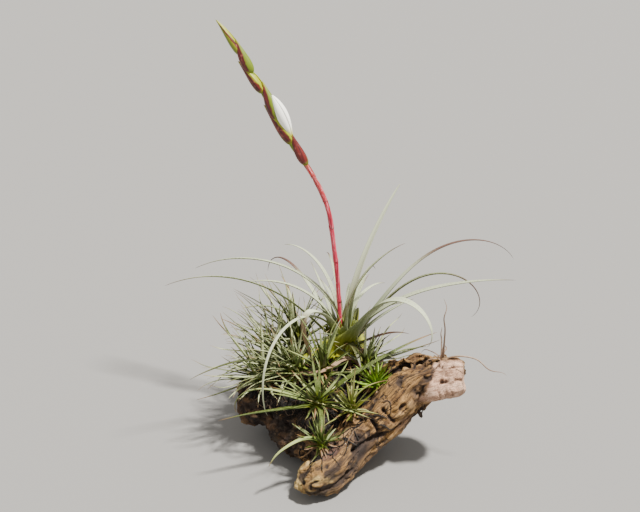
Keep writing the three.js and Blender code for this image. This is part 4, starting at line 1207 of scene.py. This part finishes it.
# %% Small rosettes
# name: slot, count of finer leaves, dryness of the tips, tone, own leaves' width, lean from the mother
STYLES = {
    "rosette_back_left": ("leaf_silver_fine", 50, 0.14, (0.0, 1.0), 1.4, 34),
    "rosette_left": ("leaf_silver_fine", 46, 0.12, (0.0, 1.0), 1.4, 38),
    "rosette_mid_left": ("leaf_silver_fine", 60, 0.12, (0.0, 1.0), 1.5, 34),
    "rosette_far_left": ("leaf_silver_fine", 42, 0.14, (0.0, 1.0), 1.4, 40),
    "rosette_centre": ("leaf_green", 58, 0.1, (0.0, 1.0), 1.4, 18),
    "rosette_right": ("leaf_silver_fine", 42, 0.12, (0.0, 0.9), 1.4, 20),
    "rosette_front": ("leaf_green", 24, 0.1, (0.0, 0.9), 1.75, 12),
    "rosette_arm": ("leaf_olive", 18, 0.14, (0.1, 1.0), 1.4, 10),
    "rosette_tip": ("leaf_green", 16, 0.1, (0.0, 0.7), 1.6, 12),
    "seedling_tuft": ("leaf_bright", 54, 0.02, (0.2, 1.0), 1.5, 0),
}
# leaves of their own with a dryness or a tone that isn't drawn by chance
OLD_LEAVES = {"rosette_front": {5: 0.2}, "rosette_right": {2: 0.22}}
PALE_LEAVES = {"rosette_front": {0: 1.1, 1: 0.35}, "rosette_tip": {2: 1.3, 3: 1.2}}
for index, plant in enumerate(PLANTS):
    name = plant[0]
    if name not in STYLES:
        continue
    slot, count, dry, tone, full, tilt = STYLES[name]
    _, low, high, short, long, wide, bend = plant[5]
    draw = np.random.default_rng(300 + index)
    many = len(LEAVES[index])
    dry_own, tone_own = draw.uniform(0, 2 * dry, many), draw.uniform(*tone, many)
    for leaf_number, share in OLD_LEAVES.get(name, {}).items():
        dry_own[leaf_number] = share
    for leaf_number, share in PALE_LEAVES.get(name, {}).items():
        tone_own[leaf_number] = share
    here = [leaf is not None for leaf in LEAVES[index]]
    own = [leaf for leaf in LEAVES[index] if leaf is not None]
    crowd = 3.0 if count >= 36 and name != "seedling_tuft" else 1.0
    away = np.subtract(plant[1], mother[1])
    lean = (math.degrees(math.atan2(away[1], away[0])), tilt)
    fine = fill_leaves(plant, count, (low, high + 4), (0.5 * short, 1.2 * long), (-0.4 * bend, 1.5 * bend),
                       1.4, wide, 400 + index, crowd, lean)
    fine = fine if name == "seedling_tuft" else not_hiding(fine)
    dead = fill_leaves(plant, 14, (-25, 25), (10, 20), (20, 90), 1.0, 2.4, 500 + index)
    mesh = plant_mesh(name + "_leaves", [
        blades(own, plant, 28, 8, 0.8, 4, 600 + index, tone_own[here], dry_own[here], 0.85,
               fuller=full, taper=0.65),
        blades(fine, plant, 18, 6, 0.6, 13, 700 + index, tone, dry, 0.95, fuller=1.32, taper=0.78),
        blades(dead, plant, 10, 6, 0.4, 25, 800 + index, (0.0, 0.7), 1.0, 0.8)])
    piece(name + "_leaves", mesh, PAINT[slot], slot, name)

# %% [markdown]
# ## The dry tuft
# At the end of the branch a dead plant has left a few thin curling leaves.

# %% Dry tuft
tuft = PLANTS[11]
more = fill_leaves(tuft, 8, (0, 80), (8, 24), (60, 240), 1.2, 1.5, 21)
mesh = plant_mesh("dry_tuft_leaves", [
    blades(LEAVES[11], tuft, 60, 8, 0.9, 40, 901, (0.2, 0.9), 0.3, 1.4, 1.0),
    blades(more, tuft, 20, 6, 0.5, 30, 902, (0.1, 0.9), 0.6, 1.5, 1.0)])
piece("dry_tuft_leaves", mesh, PAINT["leaf_dry"], "leaf_dry", "dry_tuft")

# %% [markdown]
# ## The root mat
# Black wiry roots and bits of old leaf fill the space under the plants.
# The body is a few melted mounds. Roots over it are short tubes of three sides, because there are
# thousands: each walks over its mound in small steps and turns a little at each.

# %% Mounds
mounds = [boulder(at, r, 36, 24, 60 + i) for i, (at, r) in enumerate(HUMMOCKS)]
mat_mesh = melted("root_mat", mounds, voxel=1.5)
mat_at, mat_out = read(mat_mesh)
bulge = 1.3 * rough(mat_at, 7, 81) + 1.1 * rough(mat_at, 2.6, 83) - 0.6
mat_at = mat_at + mat_out * bulge[:, None]
mat_at[:, 2] = np.maximum(mat_at[:, 2], 0.5)
moved_to(mat_mesh, mat_at)
values_on(mat_mesh, {"tone": np.clip(0.5 + 0.25 * bulge, 0, 1)})

root_paint, net = material("wiry roots", rgb(0.05, 0.035, 0.025))
clumps = net.speckle(net.put("TexCoord", {}, "Object"), 420.0, 4.0, 0.7)
strand = net.attribute("tone")
shade = net.blend(net.step(strand, 0.35, 0.85), rgb(0.004, 0.0025, 0.0015), rgb(0.04, 0.021, 0.011))
shade = net.blend(net.step(strand, 0.84, 0.97), shade, rgb(0.2, 0.13, 0.08))
shade = net.blend(net.step(clumps, 0.52, 0.72, 0.0, 0.5), shade, rgb(0.06, 0.034, 0.018))
net.finish(shade, net.step(clumps, 0.3, 0.7, 0.75, 0.95), clumps, 0.8)
piece("root_mat_body", mat_mesh, root_paint, "roots", "root_mat")


# %% Wiry roots
def wiry_roots(mounds, count, steps, stride, seed):
    """Roots over the mounds: each starts at a random place on its mound, and at every step it turns in the
    surface by a random angle and is put back to the mound's surface with a small lift."""
    draw = np.random.default_rng(seed)
    at = np.array([m[0] for m in mounds], float)
    radii = np.array([m[1] for m in mounds], float)
    area = (radii[:, 0] * radii[:, 1]) ** 0.9
    which = draw.choice(len(mounds), count, p=area / area.sum())
    at, radii = at[which], radii[which]
    p = draw.normal(size=(count, 3))
    p[:, 2] = np.abs(p[:, 2]) * 0.8 - 0.25
    p = at + unit(p) * radii
    go = unit(draw.normal(size=(count, 3)))
    lift = draw.uniform(0.99, 1.07, count)
    path = []
    for _ in range(steps):
        out = unit((p - at) / radii**2)
        go = unit(go + 0.55 * draw.normal(size=(count, 3)))
        go = unit(go - out * (go * out).sum(1)[:, None] * 0.9)
        p = p + go * stride
        scale = np.linalg.norm((p - at) / radii, axis=1)
        p = at + (p - at) / scale[:, None] * (lift * (1 + 0.02 * draw.normal(size=count)))[:, None]
        path.append(p)
    path = np.stack(path, 1)
    return path[path[:, :, 2].min(1) > 1.0]


def strands(path, thin, thick, seed):
    """Three-sided tubes along many paths, thinner at both ends."""
    draw = np.random.default_rng(seed)
    many, steps, _ = path.shape
    tangent = unit(np.gradient(path, axis=1))
    side, top = sideways(tangent)
    angle = 2 * np.pi * np.arange(3) / 3
    taper = np.sin(np.pi * np.linspace(0.12, 0.9, steps)) ** 0.5
    r = (draw.uniform(thin, thick, many)[:, None] * taper)[..., None, None]
    across = side[:, :, None] * np.cos(angle)[:, None] + top[:, :, None] * np.sin(angle)[:, None]
    tone = draw.uniform(0, 1, many) ** 1.3
    tones = spread(np.broadcast_to(tone[:, None, None], (many, steps, 3)), np.repeat(tone, 2))
    return *tubes(path[:, :, None] + r * across, path[:, [0, -1]]), {"tone": tones}


# where the mat meets the arm
MAT_EDGE = np.array([
    [-26, -36, 24], [-14, -46, 29], [2, -42, 34], [14, -38, 38], [24, -31, 45], [34, -26, 52]], float)


def creeping_roots(count, steps, stride, seed):
    """Roots over the wood: each starts where the mat meets the arm, heads down the slope to the front, turns
    a little at each step, and is put back on the nearest point of the wood with a small lift."""
    draw = np.random.default_rng(seed)
    skin, out = read(wood_mesh)
    front = (skin[:, 1] < -18) & (skin[:, 2] > 14) & (skin[:, 0] > -34) & (skin[:, 0] < 48)
    skin, out = skin[front], out[front]
    p = curve(MAT_EDGE, draw.uniform(0, 1, count)) + draw.normal(0, 2, (count, 3))
    go = unit(np.array([0.35, -0.75, -0.5]) + 0.45 * draw.normal(size=(count, 3)))
    path = []
    for _ in range(steps):
        nearest = ((p[:, None] - skin[None]) ** 2).sum(-1).argmin(1)
        p = skin[nearest] + 0.25 * out[nearest]
        path.append(p)
        go = unit(go + 0.4 * draw.normal(size=(count, 3)))
        go = unit(go - out[nearest] * (go * out[nearest]).sum(1)[:, None])
        p = p + go * stride
    path = np.stack(path, 1)
    smoother = path.copy()
    smoother[:, 1:-1] = (path[:, :-2] + 2 * path[:, 1:-1] + path[:, 2:]) / 4
    return smoother


over_mat = strands(wiry_roots(HUMMOCKS, 2400, 9, 1.9, 31), 0.14, 0.36, 32)
over_wood = strands(creeping_roots(30, 12, 1.8, 33), 0.25, 0.65, 34)
piece("wiry_roots", surface("wiry_roots", [over_mat, over_wood], ["tone"]), root_paint, "roots")

# %% [markdown]
# ## The flower stem
# The stem is thin and crimson, with a pale bloom and sheaths pressed to it between its joints.
# A round tube along the line would be too plain, so the radius swells at each joint
# and each sheath is a thin shell that clasps the stem and runs to a point.

# %% Shells that clasp a line
def shell(centre, out, side, wide, high, opening, thick, cols=9, crest=0.0, spiral=0.0):
    """A closed thin shell round a line: an outer arc from minus to plus the opening angle about the outward
    direction, and an inner arc back, nearer by the thickness. A crest raises the middle as a keel."""
    theta = np.linspace(-1, 1, cols) * np.asarray(opening)[:, None]
    keel = 1 + crest * np.exp(-((theta / 0.3) ** 2)) + spiral * theta
    outer = np.stack([np.cos(theta) * high[:, None] * keel, np.sin(theta) * wide[:, None] * keel], -1)
    inner = outer - np.stack([np.cos(theta), np.sin(theta)], -1) * thick[:, None, None]
    loop = np.concatenate([outer, inner[:, ::-1]], 1)
    rings = centre[:, None] + out[:, None] * loop[..., :1] + side[:, None] * loop[..., 1:]
    across = np.concatenate([np.linspace(-1, 1, cols), np.linspace(1, -1, cols)])
    return rings, across


# shares of the stem's length where the spike starts and ends and the flower starts, and the length in mm
SPIKE_FROM, SPIKE_TO, FLOWER_FROM, STEM_LONG = 0.462, 0.93, 0.54, 264
# a bract: where it starts on the stem, its length and width, and how far it stands off
BRACTS = [(0.462, 19, 6.2, 4), (0.546, 25, 6.8, 5), (0.63, 22, 7, 4.5),
          (0.735, 20, 5.8, 4), (0.81, 18.5, 5.8, 2.2), (0.873, 21.5, 4.4, 0.3)]
AXIS_R = (1.9, 0.8)
COROLLA_LONG, COROLLA_WIDE = 33, 8.2
JOINTS = np.array([0.09, 0.17, 0.25, 0.33, 0.41])


def stem_at(t):
    """The stem's line, evened by a weighted mean of places a little below and above."""
    t = np.asarray(t, float)
    steps_away = np.array([-0.055, -0.035, -0.015, 0.015, 0.035, 0.055])
    return sum(curve(STEM, t + away) for away in steps_away) / len(steps_away)


# rings along the stem, and points round each
ROWS, AROUND = 130, 14
t = np.linspace(0.012, SPIKE_FROM + 0.03, ROWS)
stem_r = 1.2 * SCAPE_R
swelling = 0.16 * np.exp(-(((t[:, None] - JOINTS) / 0.006) ** 2)).sum(1)
stem = pipe(stem_at(t), stem_r * (1 + swelling) * (1 + 0.12 * (1 - t / 0.5)), AROUND, 5, 0.04)
stem_parts = [(*stem, {"along": on_tube((ROWS, AROUND), t[:, None], t[[0, -1]]),
                       "across": on_tube((ROWS, AROUND), np.linspace(-1, 1, AROUND), 0)})]
for number, joint in enumerate(JOINTS):
    q = np.linspace(0, 1, 26)
    where = joint - 0.012 + 0.088 * q
    tangent = heading(STEM, where)
    side, top = sideways(tangent)
    out, side = rolled(side, top, math.radians(150 * number + 70))
    radius = stem_r * 1.12 + 0.2 + 0.25 * q**3
    opening = 2.5 * (1 - q) ** 0.7 + 0.12
    rings, across = shell(stem_at(where), out, side, radius, radius, opening, 0.2 + 0 * q, 8)
    ends = np.stack([rings[0].mean(0), rings[-1].mean(0) + 0.8 * tangent[-1]])
    shape = rings.shape[:2]
    stem_parts.append((*tubes(rings[None], ends[None]), {
        "along": on_tube(shape, where[:, None], where[[0, -1]]), "across": on_tube(shape, across, 0)}))

scape_paint, net = material("crimson stem", rgb(0.42, 0.04, 0.07))
up_stem = net.attribute("along")
place = net.on_piece()
streaks = net.streaks(place, 1.4, 0.12)
bloom = net.streaks(place, 0.9, 0.5, detail=4.0)
red = net.blend(net.step(up_stem, 0.2, 0.42), rgb(0.46, 0.012, 0.05), rgb(0.29, 0.017, 0.012))
red = net.blend(net.step(up_stem, 0.42, 0.49, 0.0, 0.85), red, rgb(0.26, 0.16, 0.012))
red = net.blend(net.step(streaks, 0.5, 0.64, 0.0, 0.75), red, rgb(0.6, 0.2, 0.23))
red = net.blend(net.step(bloom, 0.6, 0.72, 0.0, 0.7), red, rgb(0.56, 0.36, 0.35))
red = net.blend(net.step(streaks, 0.42, 0.25, 0.0, 0.7), red, rgb(0.12, 0.004, 0.014))
net.finish(red, net.step(bloom, 0.3, 0.7, 0.42, 0.62), streaks, 0.15)
mesh = surface("scape_stem", stem_parts, ("along", "across"),
               lambda values: (values["across"] * 3.6, values["along"] * STEM_LONG))
piece("scape_stem", mesh, scape_paint, "scape", "flower_scape")

# %% [markdown]
# ## Bracts
# Six boat-shaped bracts stand in two ranks. Each folds round the stem with a keel on its back,
# green to yellow at the edges and dark red on the side the sun reaches.

# %% Bracts
# the middle of each bract's red band, counted from its keel to its edge, and half its width
RED_BANDS = [(0.55, 0.55), (0.58, 0.27), (0.8, 0.31), (0.58, 0.27), (0.8, 0.33), (0.95, 0.12)]
NO_RED = {"along": 0.5, "red": 0.0, "band": 3.0}


def plain(shape, across, length):
    """Values of a tube without red, because its band lies too far off."""
    values = {key: on_tube(shape, value, value) for key, value in (*NO_RED.items(), ("across", across))}
    return {**values, "length": on_tube(shape, length[:, None], length[[0, -1]])}


# rings along a bract or petal, points round a bud, and rings along the axis
ROWS, AROUND, AXIS_ROWS = 44, 12, 40
t = np.linspace(SPIKE_FROM, SPIKE_TO, AXIS_ROWS)
axis = pipe(curve(STEM, t), np.linspace(*AXIS_R, AXIS_ROWS) * 1.15, AROUND, 7, 0.03)
spike_parts = [(*axis, plain((AXIS_ROWS, AROUND), 0.0, t * STEM_LONG))]
for number, (root, long, wide, off) in enumerate(BRACTS):
    hand = -1 if number % 2 else 1
    root, long, wide = root - 0.019, long * 1.14 + 4, wide * (0.98 if number == 0 else 1.16)
    q = np.linspace(0.02, 0.985, ROWS)
    tangent = heading(STEM, root + 0.045)
    side, top = sideways(tangent)
    swell = np.sin(np.pi * q**0.6) ** 0.8
    offset = hand * (0.3 + off * q**1.3 - 0.6 * np.sin(np.pi * q)) + hand * 0.9 * q**6
    centre = curve(STEM, root) + tangent * (q * long)[:, None] + top * offset[:, None]
    half, thick = swell * wide, 0.3 * swell + 0.1
    rings, across = shell(centre, np.tile(top * hand, (ROWS, 1)), np.tile(side, (ROWS, 1)),
                          half * 0.5, half * 0.56, 2.85 - 0.75 * q, thick, 14, 0.12)
    ends = np.stack([curve(STEM, root), centre[-1] + tangent * 0.9 + top * hand * 0.3])
    bud = pipe(centre - top * hand * 0.25, 0.4 * wide * swell, AROUND, 70 + number)
    spike_parts.append((*bud, plain((ROWS, AROUND), 0.9, np.full(ROWS, 9.0))))
    shape, (band, half_band) = rings.shape[:2], RED_BANDS[number]
    apart = 40 * number
    spike_parts.append((*tubes(rings[None], ends[None]), {
        "along": on_tube(shape, q[:, None], [0, 1]), "across": on_tube(shape, across, 0),
        "red": on_tube(shape, half_band, half_band), "band": on_tube(shape, band, band),
        "length": on_tube(shape, q[:, None] * long + apart, [apart, apart + long])}))

bract_paint, net = material("bract", rgb(0.34, 0.4, 0.03))
place = net.on_piece()
ribs = net.streaks(place, 1.8, 0.06, detail=2.0)
mottle = net.streaks(place, 0.5, 0.25)
up_bract, share = net.attribute("along"), net.attribute("red")
from_keel = net.sums("ABSOLUTE", net.attribute("across"))
lime = net.blend(net.step(from_keel, 0.3, 0.95), rgb(0.13, 0.18, 0.0005), rgb(0.28, 0.3, 0.0008))
lime = net.blend(net.step(up_bract, 0.7, 1.0, 0.0, 0.7), lime, rgb(0.28, 0.26, 0.002))
lime = net.blend(net.step(ribs, 0.55, 0.35, 0.0, 0.35), lime, rgb(0.1, 0.15, 0.004))
slant = net.sums("MULTIPLY_ADD", mottle, 0.24, net.sums("MULTIPLY_ADD", up_bract, 0.36, from_keel))
off_band = net.sums("ABSOLUTE", net.sums("SUBTRACT", net.sums("SUBTRACT", slant, 0.2), net.attribute("band")))
patch = net.step(net.sums("SUBTRACT", off_band, share), 0.06, -0.06)
off_ends = net.sums("MULTIPLY", net.step(up_bract, 0.02, 0.14), net.step(up_bract, 0.97, 0.82))
patch = net.sums("MULTIPLY", patch, off_ends)
dark_red = net.blend(net.step(ribs, 0.4, 0.62), rgb(0.05, 0.0015, 0.002), rgb(0.15, 0.009, 0.005))
dark_red = net.blend(net.step(mottle, 0.54, 0.72, 0.0, 0.6), dark_red, rgb(0.34, 0.1, 0.07))
net.finish(net.blend(patch, lime, dark_red), net.step(mottle, 0.3, 0.7, 0.38, 0.52), ribs, 0.15)
mesh = surface("spike_bracts", spike_parts, ("along", "across", "red", "band"),
               lambda values: (values["across"] * 5, values["length"]))
piece("spike_bracts", mesh, bract_paint, "bract", "flower_bracts")

# %% [markdown]
# ## The flower
# Three white petals roll over each other into a swollen tube. Each is a thin shell over a third of the
# tube and a little more, with its radius growing round it, so that one edge lies over its neighbour.

# %% Petals
q = np.linspace(0.015, 0.99, ROWS)
tangent = heading(STEM, FLOWER_FROM + 0.08)
side, top = sideways(tangent)
arch = 2.4 + 7.4 * q - 3.6 * q * q
centre = curve(STEM, FLOWER_FROM) + tangent * (q * COROLLA_LONG)[:, None] + top * arch[:, None]
swell = 0.5 * COROLLA_WIDE * np.sin(np.pi * np.clip(q, 0, 0.985) ** 1.15) ** 0.75
petal_parts = []
for number in range(3):
    out_dir, side_dir = rolled(side, top, np.radians(120 * number + 25 + 30 * q)[:, None])
    thick = np.minimum(0.3, 0.5 * swell)
    rings, across = shell(centre, out_dir, side_dir, swell, swell, 1.42 - 0.2 * q, thick, 11, 0.0, 0.045)
    ends = np.stack([centre[0] - tangent * 0.4, centre[-1] + tangent * 0.3])
    shape = rings.shape[:2]
    petal_parts.append((*tubes(rings[None], ends[None]), {
        "along": on_tube(shape, q[:, None], [0, 1]), "across": on_tube(shape, across, 0)}))

petal_paint, net = material("white petal", rgb(0.86, 0.85, 0.78))
place = net.on_piece()
petal_veins = net.streaks(place, 1.3, 0.05, detail=2.0)
white = net.blend(net.step(petal_veins, 0.6, 0.38, 0.0, 0.35), rgb(0.97, 0.96, 0.9), rgb(0.86, 0.86, 0.72))
white = net.blend(net.step(net.attribute("along"), 0.3, 0.06), white, rgb(0.52, 0.5, 0.012))
net.finish(white, net.step(petal_veins, 0.3, 0.7, 0.45, 0.6), petal_veins, 0.12)
mesh = surface("petals", petal_parts, ("along", "across"),
               lambda values: (values["across"] * 5, values["along"] * COROLLA_LONG))
piece("petals", mesh, petal_paint, "petal", "corolla")

# %% [markdown]
# ## Size
# The finished model keeps within the solid model's box, which is compared here.

# %% Size and finish
seen_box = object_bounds()
sizes = {"cad": [list(map(float, corner)) for corner in cad_box], "visual": [list(map(float, corner)) for corner in seen_box]}
corners = zip(sizes["cad"], sizes["visual"])
print("grew by mm", [[round((b - a) / MM, 1) for a, b in zip(*pair)] for pair in corners])
